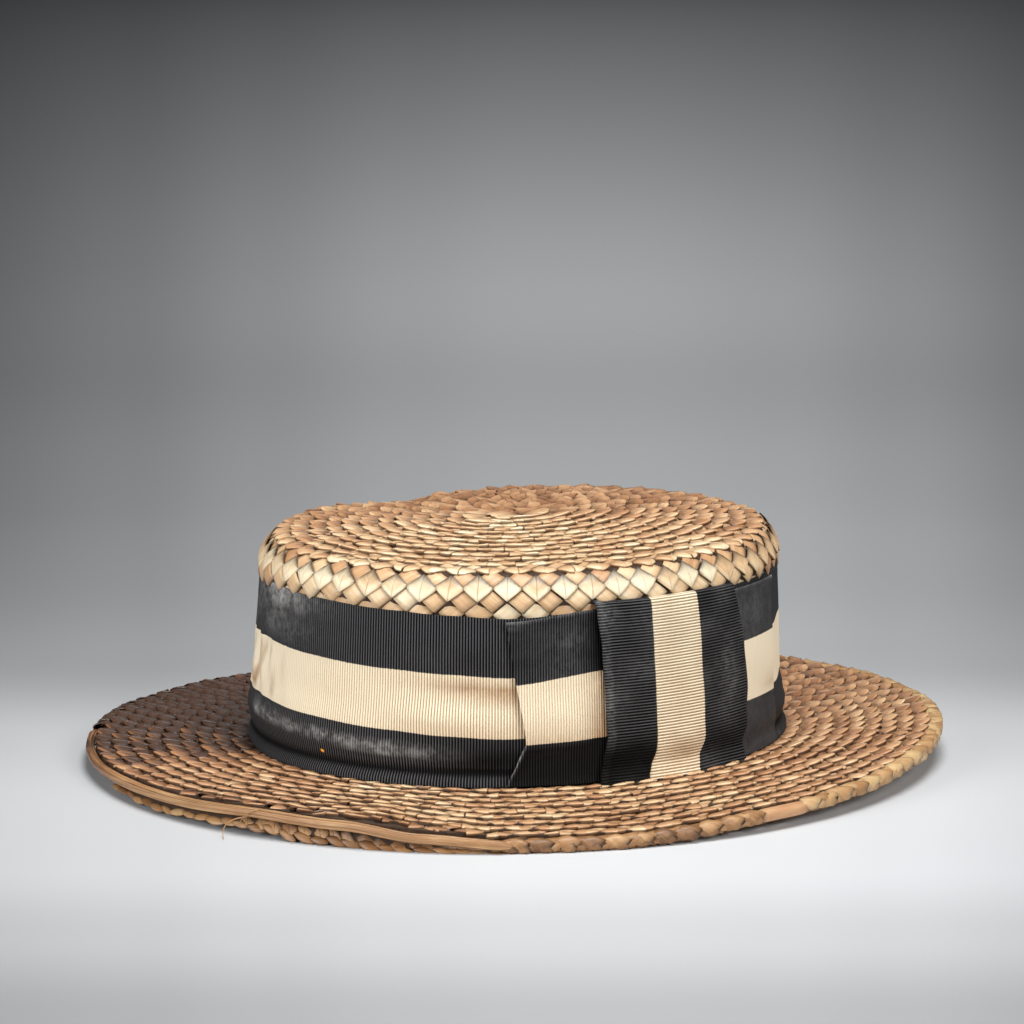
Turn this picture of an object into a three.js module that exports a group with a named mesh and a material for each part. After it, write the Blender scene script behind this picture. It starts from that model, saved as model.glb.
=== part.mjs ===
// A straw boater: a stiff oval hat sewn from one long flat plait of straw, with a striped
// ribbon and a flat bow on the wearer's left. Each row of plait laps over the row outside it.
// Millimetres, +Z up, +X the wearer's left, -Y the wearer's front, standing on its brim at z = 0.
import * as THREE from 'three';

// Crown: half-widths of the side wall's outside at its foot, and how far it leans in by the ribbon's top.
const CROWN_X = 91.7;
const CROWN_Y = 99.7;
const TAPER_X = 4.5;
const TAPER_Y = 2.1;
const STRAW_WALL = 2.2;
const GAP = 0.3;

// Heights above the surface that the hat stands on.
const BRIM_TOP = 7.4;
const CROWN_FOOT = BRIM_TOP + GAP;
const BAND_FOOT = BRIM_TOP + 0.9;
const TAIL_FOOT = BAND_FOOT + 0.4;
const BAND_TOP = 69.9;
const TAIL_TOP = BAND_TOP - 0.7;
const SHOULDER_EDGE = 73.4;
const TIP_RIM = 82.6;
const TIP_CENTRE = 86.6;

// The crown leans a little: its top is shifted towards the lifted brim, and the tip's rim is
// higher on the far side of the bow than in front of it. Angles run from the bow towards the back.
const CROWN_SHIFT = 1.2;
const CROWN_SHIFT_TOWARDS = 52;
const TIP_LEAN = 1.3;
const TIP_LEAN_TOWARDS = 142;

// Plait rows: how many lie on the tip and on the brim, and how proud each row's outer edge stands.
const TIP_ROWS = 13;
const BRIM_ROWS = 9;
const ROW_STEP = 0.9;
const TIP_ROUNDING = 14;

// Brim: distances outwards from the crown wall's foot, how late its warp sets in, and over how
// many degrees it widens where the binding is gone.
const BRIM_OUT = 54.6;
const BRIM_WORN_OUT = 57.8;
const EDGE_REACH = 60.7;
const BRIM_CURL = 1.3;
const WORN_FADE = 8;

// Edge binding and what is left of it along the worn stretch, by angle from the bow towards the back.
const PLAIT_FROM = -37;
const PLAIT_TO = 231;
const PLAIT_WIDTH = 5.6;
const PLAIT_HEIGHT = 4.6;
const PLAIT_FLATNESS = 0.6;
const CANE_FROM = 231.6;
const CANE_TO = 322.4;
const CANE_WIDTH = 2.4;
const CANE_HEIGHT = 3.0;
const LOOSE_FROM = 258;
const LOOSE_TO = 321;
const LOOSE_THICKNESS = 1.6;
const LOOSE_SETBACK = 0.4;

// Ribbon and bow.
const RIBBON = 1.0;
const ARC_RADIUS = 97;
const KNOT_HALF = 32.5;
const TAIL_TUCK = 10;
const TAIL_FRONT_REACH = 64;
const TAIL_BACK_REACH = 59;
const NOTCH_DEPTH = 7;
const NOTCH_HEIGHT = 0.33;
const TAIL_FRONT_SAG = 2.2;

const RING_STEPS = 60;
const DEGREE = Math.PI / 180;
const UP = new THREE.Vector3(0, 0, 1);

// The shoulder's curve, from the tip's rim down to the lower edge of the last row above the ribbon.
const SHOULDER = [
  { inset: 5.4, height: 81.9 },
  { inset: 2.6, height: 80.4 },
  { inset: 0.6, height: 77.6 },
  { inset: -0.8, height: SHOULDER_EDGE },
  { inset: 0.0, height: SHOULDER_EDGE - 0.2 },
];

// The same curve inside the crown, from the wall up to the tip's underside.
const SHOULDER_INSIDE = [
  { inset: STRAW_WALL, height: SHOULDER_EDGE },
  { inset: 3.4, height: 77.6 },
  { inset: 6.4, height: TIP_RIM - STRAW_WALL },
];

// Height of the brim's middle surface at its edge, round the hat.
const BRIM_EDGE = [
  { at: 0, mid: 5.6 },
  { at: 13, mid: 7.3 },
  { at: 30, mid: 9.3 },
  { at: 50, mid: 11.0 },
  { at: 74, mid: 9.3 },
  { at: 100, mid: 7.6 },
  { at: 128, mid: 2.3 },
  { at: 154, mid: 2.3 },
  { at: 180, mid: 2.3 },
  { at: 202, mid: 3.8 },
  { at: 222, mid: 5.9 },
  { at: 248, mid: 5.7 },
  { at: 272, mid: 6.7 },
  { at: 289, mid: 8.2 },
  { at: 301, mid: 7.2 },
  { at: 311, mid: 4.9 },
  { at: 322, mid: 2.3 },
  { at: 336, mid: 2.3 },
];

// Lower edge of the loosened binding, round the hat.
const LOOSE_EDGE = [
  { at: 256, low: 2.4 },
  { at: 270, low: 1.5 },
  { at: 286, low: 2.3 },
  { at: 294, low: 1.6 },
  { at: 303, low: 0 },
  { at: 322, low: 0 },
];

// The ribbon's section: a lip lying on the brim, a crease above it, a soft bulge, then straight up.
const BAND_FOLDS = [
  { rise: 0.0, swell: 1.6 },
  { rise: 2.6, swell: 0.9 },
  { rise: 5.0, swell: 0.1 },
  { rise: 10.0, swell: 0.8 },
  { rise: 20.0, swell: 0.1 },
  { rise: 60.0, swell: 0.0 },
];

// Where the ribbon's top edge sags or rides up.
const BAND_TOP_WAVE = [
  { at: 0, rise: 0 },
  { at: 230, rise: 0 },
  { at: 252, rise: 0.8 },
  { at: 272, rise: -0.8 },
  { at: 314, rise: -2.2 },
  { at: 340, rise: 0 },
];

// The knot's section: a flared foot, a crease, a swell, then over the ribbon's top edge.
const KNOT_FOLDS = [
  { height: 8.6, out: 6.2 },
  { height: 11.0, out: 5.2 },
  { height: 14.0, out: 4.0 },
  { height: 20.0, out: 4.8 },
  { height: 30.0, out: 4.2 },
  { height: 66.0, out: 3.7 },
  { height: 70.3, out: 3.4 },
  { height: 71.4, out: 1.9 },
  { height: 71.5, out: 0.9 },
];

const STRAW = { color: 0xc39a62, roughness: 0.62, metalness: 0 };
const PALE_STRAW = { color: 0xb79b6c, roughness: 0.65, metalness: 0 };
const CANE = { color: 0xa4744a, roughness: 0.55, metalness: 0 };
const BLACK_RIBBON = { color: 0x26262b, roughness: 0.7, metalness: 0 };

const mix = (a, b, t) => a + (b - a) * t;
const clamp01 = (t) => Math.min(1, Math.max(0, t));
const smooth = (t) => clamp01(t) ** 2 * (3 - 2 * clamp01(t));

// Value of a column at x in a table sorted by another column, eased between neighbouring rows.
function lookUp(rows, key, column, x) {
  const next = rows.findIndex((row) => row[key] >= x);
  if (next === 0) return rows[0][column];
  if (next < 0) return rows[rows.length - 1][column];
  const [low, high] = [rows[next - 1], rows[next]];
  return mix(low[column], high[column], smooth((x - low[key]) / (high[key] - low[key])));
}

// The same round the hat: the first row follows the last one at 360 degrees.
function roundTheHat(rows, column, angle) {
  const degrees = ((angle / DEGREE) % 360 + 360) % 360;
  const closed = [...rows, { ...rows[0], at: rows[0].at + 360 }];
  return lookUp(closed, 'at', column, degrees);
}

// A point outside an oval, along its outward normal.
function ovalPoint(halfX, halfY, angle, out, height) {
  const normal = new THREE.Vector2(Math.cos(angle) / halfX, Math.sin(angle) / halfY).normalize();
  return new THREE.Vector3(
    halfX * Math.cos(angle) + out * normal.x,
    halfY * Math.sin(angle) + out * normal.y,
    height,
  );
}

// Sideways shift of the crown's axis, from nothing at its foot.
function crownShift(height) {
  const share = clamp01((height - CROWN_FOOT) / (BAND_TOP - CROWN_FOOT));
  return new THREE.Vector3(CROWN_SHIFT * share, 0, 0)
    .applyAxisAngle(UP, CROWN_SHIFT_TOWARDS * DEGREE);
}

// A point at some distance outside the crown's leaning side wall.
function wallPoint(angle, out, height) {
  const lean = (height - CROWN_FOOT) / (BAND_TOP - CROWN_FOOT);
  const point = ovalPoint(CROWN_X - TAPER_X * lean, CROWN_Y - TAPER_Y * lean, angle, out, height);
  return point.add(crownShift(height));
}

// Height of the brim's middle surface at a distance outwards from the crown.
function brimMiddle(angle, out) {
  const inner = BRIM_TOP - STRAW_WALL / 2;
  const share = clamp01(out / EDGE_REACH) ** BRIM_CURL;
  return mix(inner, roundTheHat(BRIM_EDGE, 'mid', angle), share);
}

// Moves every vertex of a geometry by a rule that takes and returns a point.
function reshape(geometry, rule) {
  const position = geometry.getAttribute('position');
  const point = new THREE.Vector3();
  for (let i = 0; i < position.count; i += 1) {
    const moved = rule(point.fromBufferAttribute(position, i));
    position.setXYZ(i, moved.x, moved.y, moved.z);
  }
  geometry.computeVertexNormals();
  return geometry;
}

// A round ring from a profile of distances and heights, carried by a rule of distance, angle and height.
function ring(profile, rule) {
  const lathe = new THREE.LatheGeometry(profile.map(([r, z]) => new THREE.Vector2(r, z)), RING_STEPS);
  lathe.rotateX(Math.PI / 2);
  return reshape(lathe, (p) => rule(Math.hypot(p.x, p.y), Math.atan2(p.y, p.x), p.z));
}

// A strip bent round the hat: across, along and up each run from 0 to 1 over a plain box.
function strip(alongSteps, upSteps, rule) {
  const box = new THREE.BoxGeometry(1, 1, 1, 1, alongSteps, upSteps);
  return reshape(box, (p) => rule(p.x + 0.5, p.y + 0.5, p.z + 0.5));
}

function piece(name, geometry, finish) {
  const mesh = new THREE.Mesh(geometry, new THREE.MeshStandardMaterial(finish));
  mesh.name = name;
  return mesh;
}

// Crown: stepped rows on the domed tip, a rounded shoulder, a plain wall behind the ribbon.
function crown() {
  const topX = CROWN_X - TAPER_X;
  const rimX = topX - SHOULDER[0].inset;
  const dome = (r) => mix(TIP_CENTRE, TIP_RIM, (r / rimX) ** 2);
  const profile = [[0, dome(0) + ROW_STEP]];
  for (let row = 1; row <= TIP_ROWS; row += 1) {
    const edge = (rimX * row) / TIP_ROWS;
    profile.push([edge, dome(edge) + ROW_STEP]);
    if (row < TIP_ROWS) profile.push([edge, dome(edge)]);
  }
  SHOULDER.forEach(({ inset, height }) => profile.push([topX - inset, height]));
  profile.push([topX, BAND_TOP], [CROWN_X, CROWN_FOOT], [CROWN_X - STRAW_WALL, CROWN_FOOT]);
  SHOULDER_INSIDE.forEach(({ inset, height }) => profile.push([topX - inset, height]));
  profile.push([rimX / 2, dome(rimX / 2) - STRAW_WALL], [0, dome(0) - STRAW_WALL]);
  return ring(profile.reverse(), (r, angle, z) => {
    const lean = clamp01((z - CROWN_FOOT) / (BAND_TOP - CROWN_FOOT));
    const longer = mix(CROWN_Y - CROWN_X, CROWN_Y - TAPER_Y - topX, lean) * smooth(r / TIP_ROUNDING);
    const tilt = TIP_LEAN * (r / rimX) * smooth((z - BAND_TOP) / (TIP_RIM - BAND_TOP));
    const height = z + tilt * Math.cos(angle - TIP_LEAN_TOWARDS * DEGREE);
    const point = new THREE.Vector3(r * Math.cos(angle), (r + longer) * Math.sin(angle), height);
    return point.add(crownShift(z));
  });
}

// Brim: stepped rows on top, smooth below, reaching further out where its binding is gone.
function brim() {
  const half = STRAW_WALL / 2;
  const first = RIBBON + GAP;
  const profile = [[-STRAW_WALL, -half], [-STRAW_WALL, half], [first, half]];
  for (let row = 1; row <= BRIM_ROWS; row += 1) {
    const edge = mix(first, BRIM_OUT, row / BRIM_ROWS);
    profile.push([edge, half + ROW_STEP]);
    if (row < BRIM_ROWS) profile.push([edge, half]);
  }
  profile.push([BRIM_OUT, -half], [BRIM_OUT / 2, -half], [-STRAW_WALL, -half]);
  const rows = profile.map(([out, lift]) => [out + CROWN_X, lift]);
  return ring(rows.reverse(), (r, angle, lift) => {
    const degrees = ((angle / DEGREE) + 360) % 360;
    const worn = smooth((degrees - CANE_FROM - 1) / WORN_FADE) * smooth((CANE_TO - 1 - degrees) / WORN_FADE);
    const out = (r - CROWN_X) * mix(1, BRIM_WORN_OUT / BRIM_OUT, worn);
    return ovalPoint(CROWN_X, CROWN_Y, angle, out, brimMiddle(angle, out) + lift);
  });
}

// Edge binding: a plait folded round the brim's edge, flat where it rests.
function edgePlait() {
  const sides = 8;
  const steps = 66;
  const rod = new THREE.CylinderGeometry(1, 1, 1, sides, steps);
  rod.rotateY(Math.PI / sides);
  const squared = (v) => Math.sign(v) * Math.abs(v) ** PLAIT_FLATNESS;
  return reshape(rod, (p) => {
    const angle = mix(PLAIT_FROM, PLAIT_TO, p.y + 0.5) * DEGREE;
    const out = EDGE_REACH - PLAIT_WIDTH / 2 + squared(p.x) * PLAIT_WIDTH / 2;
    const lift = squared(p.z) * PLAIT_HEIGHT / 2;
    return ovalPoint(CROWN_X, CROWN_Y, angle, out, brimMiddle(angle, EDGE_REACH) + lift);
  });
}

// Bare cane along the worn edge.
function edgeCane() {
  return strip(30, 1, (across, along, up) => {
    const angle = mix(CANE_FROM, CANE_TO, along) * DEGREE;
    const out = EDGE_REACH - CANE_WIDTH * (1 - across);
    const height = brimMiddle(angle, EDGE_REACH) + (up - 0.5) * CANE_HEIGHT;
    return ovalPoint(CROWN_X, CROWN_Y, angle, out, height);
  });
}

// Loosened binding, hanging under the cane and touching the surface at its lowest stretch.
function loosePlait() {
  return strip(24, 1, (across, along, up) => {
    const angle = mix(LOOSE_FROM, LOOSE_TO, along) * DEGREE;
    const out = EDGE_REACH - LOOSE_SETBACK - LOOSE_THICKNESS * (1 - across);
    const top = brimMiddle(angle, EDGE_REACH) - CANE_HEIGHT / 2 - GAP;
    const height = mix(roundTheHat(LOOSE_EDGE, 'low', angle), top, up);
    return ovalPoint(CROWN_X, CROWN_Y, angle, out, height);
  });
}

// Ribbon: a closed band round the crown.
function hatBand() {
  const outside = BAND_FOLDS.map(({ rise, swell }) => [GAP + RIBBON + swell, BAND_FOOT + rise]);
  outside.push([GAP + RIBBON, BAND_TOP]);
  const inside = outside.map(([out, height]) => [out - RIBBON, height]).reverse();
  const loop = [...outside, ...inside, outside[0]].map(([out, height]) => [out + CROWN_X, height]);
  return ring(loop, (r, angle, height) => {
    const upper = smooth((height - BAND_FOOT) / (BAND_TOP - BAND_FOOT));
    const wave = roundTheHat(BAND_TOP_WAVE, 'rise', angle) * upper;
    return wallPoint(angle, r - CROWN_X, height + wave);
  });
}

// A free end of the ribbon beside the knot; the cut end is notched inwards at one height.
function bowTail(side, reach, notchDepth, sag) {
  const inner = 2 * GAP + RIBBON;
  return strip(8, 12, (across, along, up) => {
    const nearNotch = up < NOTCH_HEIGHT ? up / NOTCH_HEIGHT : (1 - up) / (1 - NOTCH_HEIGHT);
    const end = reach - notchDepth * nearNotch;
    const from = KNOT_HALF - TAIL_TUCK;
    const arc = side > 0 ? mix(from, end, along) : mix(-end, -from, along);
    const freeEnd = side > 0 ? along : 1 - along;
    const height = mix(TAIL_FOOT, TAIL_TOP - sag * freeEnd, up);
    const swell = lookUp(BAND_FOLDS, 'rise', 'swell', height - BAND_FOOT);
    return wallPoint(arc / ARC_RADIUS, inner + swell + RIBBON * across, height);
  });
}

// Knot: the ribbon laid upright over the tails, its top folded over the ribbon's edge.
function bowKnot() {
  const cuts = KNOT_FOLDS.length - 1;
  return strip(10, cuts, (across, along, up) => {
    const fold = Math.round(up * cuts);
    const { out, height } = KNOT_FOLDS[fold];
    const before = KNOT_FOLDS[Math.max(0, fold - 1)];
    const after = KNOT_FOLDS[Math.min(cuts, fold + 1)];
    const run = new THREE.Vector2(after.out - before.out, after.height - before.height).normalize();
    const offset = (across - 0.5) * RIBBON;
    const arc = mix(-KNOT_HALF, KNOT_HALF, along);
    return wallPoint(arc / ARC_RADIUS, out + run.y * offset, height - run.x * offset);
  });
}

const hat = new THREE.Group();
hat.add(
  piece('crown', crown(), STRAW),
  piece('brim', brim(), STRAW),
  piece('edge_plait', edgePlait(), PALE_STRAW),
  piece('edge_cane', edgeCane(), CANE),
  piece('loose_plait', loosePlait(), PALE_STRAW),
  piece('hat_band', hatBand(), BLACK_RIBBON),
  piece('bow_tail_front', bowTail(-1, TAIL_FRONT_REACH, NOTCH_DEPTH, TAIL_FRONT_SAG), BLACK_RIBBON),
  piece('bow_tail_back', bowTail(1, TAIL_BACK_REACH, 0, 0), BLACK_RIBBON),
  piece('bow_knot', bowKnot(), BLACK_RIBBON),
);

export default hat;
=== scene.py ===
"""A worn straw boater: plaited straw crown and brim, a folded plait binding that has come away
along one stretch, and a ribbed black and cream ribbon tied in a flat bow.

Shapes are worked out in millimetres and written to the meshes in metres. Angles run from the bow,
at +X, towards the wearer's back, at +Y."""

import bpy
import numpy as np
from mathutils import Matrix, Vector


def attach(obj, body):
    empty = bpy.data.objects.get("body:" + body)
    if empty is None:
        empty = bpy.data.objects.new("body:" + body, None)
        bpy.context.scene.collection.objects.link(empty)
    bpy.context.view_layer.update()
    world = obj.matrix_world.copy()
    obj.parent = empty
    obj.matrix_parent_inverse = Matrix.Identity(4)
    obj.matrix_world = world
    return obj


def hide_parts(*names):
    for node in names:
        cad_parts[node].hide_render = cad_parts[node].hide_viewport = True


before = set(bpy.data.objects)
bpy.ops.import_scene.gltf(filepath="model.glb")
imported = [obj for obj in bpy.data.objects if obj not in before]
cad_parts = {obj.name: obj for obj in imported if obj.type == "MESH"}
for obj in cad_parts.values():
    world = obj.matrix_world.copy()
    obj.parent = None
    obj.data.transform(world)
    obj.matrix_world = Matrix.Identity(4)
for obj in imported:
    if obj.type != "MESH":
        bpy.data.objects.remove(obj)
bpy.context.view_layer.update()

# Crown
# One long plait of split straw, sewn in rows from the middle of the tip outwards, turned over the
# shoulder and down the side. Each row laps over the next, so its folded outer teeth stand proud.

MM = 0.001
DEGREE = np.pi / 180

CROWN_X, CROWN_Y = 91.7, 99.7          # half-widths of the crown wall's foot
TAPER_X, TAPER_Y = 4.5, 2.1            # how much narrower it is at the ribbon's top
CROWN_FOOT, BAND_TOP = 7.7, 69.9
CROWN_SHIFT, CROWN_SHIFT_TOWARDS = 1.2, 52 * DEGREE
TIP_LEAN, TIP_LEAN_TOWARDS = 1.3, 142 * DEGREE
TIP_RIM, TIP_CENTRE, TIP_ROWS, TIP_ROUNDING = 82.6, 86.6, 13, 14.0
SHOULDER = ((2.6, 80.4), (0.6, 77.6), (-0.5, 74.4), (-0.8, 73.0), (-0.9, 68.0))   # inset, height
SHOULDER_INSET = 5.4
STRAW_WALL = 2.2
ROW_STEP = 1.2                         # how proud the strands at a row's outer edge stand
TIP_WARP = (                           # degrees, rise of the tip's rim, which has sunk at its far side
    (20, 0), (58, 1.0), (100, 0), (120, -0.5), (145, -0.8), (160, -1.8), (168, -2.0), (176, -4.1),
    (183, -3.7), (190, -2.3), (197, -1.1), (206, 0),
)
CORE_SINK = 0.35                       # the plain inner wall, below the strands
TOP_X = CROWN_X - TAPER_X
RIM_X = TOP_X - SHOULDER_INSET
TIP_PITCH = RIM_X / TIP_ROWS

TOOTH_PITCH = 9.9                      # from tooth to tooth along a row
TOOTH_HALF = 5.15                      # half a diamond's width along the row
TOOTH_DEPTH = 4.2                      # half a diamond's height across the row
TOOTH_OVERHANG = 1.3                   # how far the teeth reach past the row's edge
STRAND_LIFT = 0.32                     # strand surface above the wall below it

dice = np.random.default_rng(1908)


def ease(t):
    """Smooth step: 3 t squared minus 2 t cubed, with t held between 0 and 1."""
    t = np.clip(t, 0, 1)
    return t * t * (3 - 2 * t)


def along_table(rows, x, period=None):
    """Value at x, eased between neighbouring (place, value) rows; with a period the table closes."""
    places, values = np.array(rows, float).T
    x = np.asarray(x, float)
    if period:
        places = np.append(places, places[0] + period)
        values = np.append(values, values[0])
        x = np.mod(x - places[0], period) + places[0]
    x = np.clip(x, places[0], places[-1])
    i = np.clip(np.searchsorted(places, x, side="right") - 1, 0, len(places) - 2)
    share = ease((x - places[i]) / (places[i + 1] - places[i]))
    return values[i] + (values[i + 1] - values[i]) * share


def hill(x, middle, width):
    """A smooth hill of height 1."""
    return np.exp(-(((x - middle) / width) ** 2))


def crown_oval(r, angle, z):
    """A round profile made into the oval crown: longer front to back, shifted, tilted and warped."""
    up = np.clip((z - CROWN_FOOT) / (BAND_TOP - CROWN_FOOT), 0, 1)
    longer = (CROWN_Y - CROWN_X + (TAPER_X - TAPER_Y) * up) * ease(r / TIP_ROUNDING)
    tilt = TIP_LEAN * (r / RIM_X) * ease((z - BAND_TOP) / (TIP_RIM - BAND_TOP))
    x = r * np.cos(angle) + CROWN_SHIFT * up * np.cos(CROWN_SHIFT_TOWARDS)
    y = (r + longer) * np.sin(angle) + CROWN_SHIFT * up * np.sin(CROWN_SHIFT_TOWARDS)
    near_rim = ease((r / RIM_X - 0.45) / 0.5) * ease((z - 72) / (TIP_RIM - 72))
    warp = along_table(TIP_WARP, angle / DEGREE, 360) * near_rim
    return np.stack([x, y, z + tilt * np.cos(angle - TIP_LEAN_TOWARDS) + warp], -1)


dome_r = np.linspace(0, RIM_X, 60)
profile_r = np.append(dome_r, [TOP_X - inset for inset, _ in SHOULDER])
dome_z = TIP_CENTRE + (TIP_RIM - TIP_CENTRE) * (dome_r / RIM_X) ** 2
profile_z = np.append(dome_z, [height for _, height in SHOULDER])
profile_s = np.append(0, np.cumsum(np.hypot(np.diff(profile_r), np.diff(profile_z))))
RIM_S = profile_s[len(dome_r) - 1]


def crown_outside(angle, s, lift):
    """Over the tip and shoulder: a distance s down the profile from the middle of the tip, lifted
    along the profile's normal."""
    s = np.maximum(s, 0.3)
    level = lambda at: (np.interp(at, profile_s, profile_r), np.interp(at, profile_s, profile_z))
    r0, z0 = level(s - 1.6)
    r1, z1 = level(s + 1.6)
    length = np.hypot(r1 - r0, z1 - z0)
    r, z = level(s)
    outer = np.maximum(r + lift * (z0 - z1) / length, 0.2)
    return crown_oval(outer, angle, z + lift * (r1 - r0) / length)


def side_outside(angle, down, lift):
    """Outside the straight side wall: a distance down from the ribbon's top, lifted outwards."""
    z = BAND_TOP - down
    return crown_oval(TOP_X + TAPER_X * down / (BAND_TOP - CROWN_FOOT) + lift, angle, z)


def tip_inside(angle, r, lift):
    """Under the tip, a wall's thickness down, with the lift measured downwards."""
    r = np.clip(r, 0.4, RIM_X - 1.2)
    above = TIP_CENTRE + (TIP_RIM - TIP_CENTRE) * (r / RIM_X) ** 2
    return crown_oval(r, angle, above - STRAW_WALL - lift)


def side_inside(angle, down, lift):
    """Inside the side wall, a wall's thickness in, with the lift measured inwards."""
    return side_outside(angle, np.clip(down, -8, BAND_TOP - CROWN_FOOT), -STRAW_WALL - lift)


def tooth_half(side, depth=TOOTH_DEPTH, blunt=2.4, tuck=0.85):
    """Half of a folded tooth. Columns run from its side corner to the crease, rows from the inner edge
    to the outer one and down round it. Gives along, outwards, lift, strand uv and soil and shade, which
    is painted shade in the cracks and round the edges, below zero where a painted highlight makes the
    outer edge pale, and as high as tuck where the row before laps over it."""
    p = np.array([0.0, 0.1, 0.36, 0.66, 0.93, 1.0, 1.02])[:, None]
    fold_down = np.array([-0.55, -0.04, 0, 0, 0, -0.05, -0.6])[:, None]
    q = np.array([0.0, 0.3, 0.62, 0.86, 0.97, 1.0, 0.92])[None, :]
    edge_down = np.array([-0.25, -0.04, 0, -0.02, -0.17, -0.5, -1.7])[None, :]
    share = np.minimum(p, 1)
    a = side * TOOTH_HALF * (1 - p)
    b_in = -depth * share - 0.35
    b_out = depth * (1 - (1 - share) ** blunt) + 0.3
    b = b_in + (b_out - b_in) * q
    ridge = 0.34 * share - 0.1 * (1 - share) ** 2
    step = 0.0 if side < 0 else -0.13
    c = STRAND_LIFT + ridge + step + edge_down + fold_down + 0.14 * np.sin(np.pi * q)
    run = np.array([TOOTH_HALF, -side * depth]) / np.hypot(TOOTH_HALF, depth)
    u = a * run[0] + b * run[1]
    v = -a * run[1] + b * run[0]
    # Painted shade in the cracks between neighbouring teeth and round the folded edges, and a painted
    # highlight on the outer edge.
    crack = np.array([1.0, 0.4, 0, 0, 0, 0.3, 0.95])[:, None]
    shade = np.array([1.0, 0.35, 0, 0, 0, 0.6, 1.0])[None, :]
    painted_edge_highlight = np.array([0, 0, 0, 0.25, 0.6, 0, 0])[None, :] * (1 - crack)
    tucked = tuck * np.clip((-b - 0.3) / 1.7, 0, 1)
    soil_and_shade = np.maximum(np.maximum(crack, shade), tucked) - painted_edge_highlight
    parts = [np.broadcast_to(x, b.shape) for x in (a, b, c, u, v, soil_and_shade)]
    return [x[::-1] for x in parts] if side > 0 else parts


def tooth(depth, blunt):
    """A whole folded tooth that no row laps over, its two halves meeting in the crease."""
    halves = [tooth_half(side, depth, blunt, tuck=0.0) for side in (-1, 1)]
    return [np.concatenate(pair) for pair in zip(*halves)]


def crossing_strand(lean, depth=TOOTH_DEPTH, reach=1.18):
    """One strand passing over another: a diamond, high in the middle, diving at both its ends. Rows
    run along the strand, columns across it; lean says which way the strand runs."""
    u = np.array([-1.0, -0.78, -0.33, 0.33, 0.78, 1.0])[:, None] * reach
    dive = np.array([-0.75, -0.06, 0.2, 0.2, -0.06, -0.75])[:, None]
    v = np.array([-0.985, -0.94, -0.45, 0.45, 0.94, 0.985])[None, :]
    roll = np.array([-0.55, -0.05, 0.03, 0.03, -0.05, -0.55])[None, :]
    a = 0.5 * TOOTH_HALF * (u + v)
    b = 0.5 * depth * lean * (u - v)
    c = STRAND_LIFT + dive + roll
    length = np.hypot(TOOTH_HALF, depth)
    # Painted shade where the strand dives at its ends and rolls under at its edges.
    at_ends = np.array([1.0, 0.3, 0, 0, 0.3, 1.0])[:, None]
    at_edges = np.array([0.95, 0.12, 0, 0, 0.12, 0.95])[None, :]
    soil_and_shade = np.maximum(at_ends, at_edges)
    parts = [np.broadcast_to(x, a.shape) for x in (a, b, c, u * length / 2, v * length / 2, soil_and_shade)]
    return parts if lean < 0 else [x[:, ::-1] for x in parts]


def lay_tiles(surface, tile, angle, across, base=0.0, slope=0.0, flip=False, scale=1.0, spin=0.05,
              loose=1.0):
    """Copies of one small shape laid on a surface: each is turned, tilted and stretched a little by
    chance, carried to its angle and distance, and lifted by its base height plus the row's slope."""
    a, b, c, u, v, soil_and_shade = [x[None] for x in tile]
    n = len(angle)
    chance = lambda size: dice.normal(0, size * loose, n)[:, None, None]
    turn, grow = chance(spin), scale * (1 + chance(0.05))
    along = (a * np.cos(turn) - b * np.sin(turn)) * grow + chance(0.25)
    outward = (a * np.sin(turn) + b * np.cos(turn)) * grow + chance(0.2)
    lift = scale * c + chance(0.045) * b + chance(0.03) * a + chance(0.08) + base + slope * outward
    at, where = angle[:, None, None], (across + 0 * angle)[:, None, None]
    step = 1e-3
    speed = np.linalg.norm(surface(at + step, where, 0 * at) - surface(at, where, 0 * at), axis=-1) / step
    points = surface(at + along / speed, where + (-outward if flip else outward), lift)
    seat = dice.uniform(0, 400, (n, 1, 1))
    uv = np.stack([u + seat, v + 0.37 * seat], -1)
    tone = np.broadcast_to(dice.uniform(0, 1, (n, 1, 1)), points.shape[:-1])
    return points, uv, tone, np.broadcast_to(soil_and_shade, tone.shape)


def equal_places(surface, across, start=0.0, end=2 * np.pi, pitch=TOOTH_PITCH):
    """Angles at equal steps of length along one row, with the whole number of teeth that fits."""
    fine = np.linspace(start, end, 721)
    points = surface(fine, across + 0 * fine, 0 * fine)
    length = np.append(0, np.cumsum(np.linalg.norm(np.diff(points, axis=0), axis=1)))
    count = max(3, int(round(length[-1] / pitch)))
    return np.interp((np.arange(count) + dice.uniform(0.2, 0.8)) * length[-1] / count, length, fine)


def mesh_piece(name, points, quads, uv, values):
    """A smooth-shaded mesh object from arrays of points in millimetres, quads, uv and point values."""
    mesh = bpy.data.meshes.new(name)
    mesh.vertices.add(len(points))
    mesh.vertices.foreach_set("co", (np.asarray(points) * MM).astype(np.float32).ravel())
    mesh.loops.add(quads.size)
    mesh.loops.foreach_set("vertex_index", quads.astype(np.int32).ravel())
    mesh.polygons.add(len(quads))
    mesh.polygons.foreach_set("loop_start", np.arange(0, quads.size, 4, dtype=np.int32))
    mesh.polygons.foreach_set("use_smooth", np.ones(len(quads), bool))
    mesh.uv_layers.new(name="strand").data.foreach_set("uv", uv[quads.ravel()].astype(np.float32).ravel())
    for key, value in values.items():
        layer = mesh.attributes.new(key, "FLOAT", "POINT")
        layer.data.foreach_set("value", np.asarray(value, np.float32).ravel())
    mesh.update(calc_edges=True)
    mesh.validate()
    piece = bpy.data.objects.new(name, mesh)
    bpy.context.scene.collection.objects.link(piece)
    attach(piece, "root")
    return piece


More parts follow.
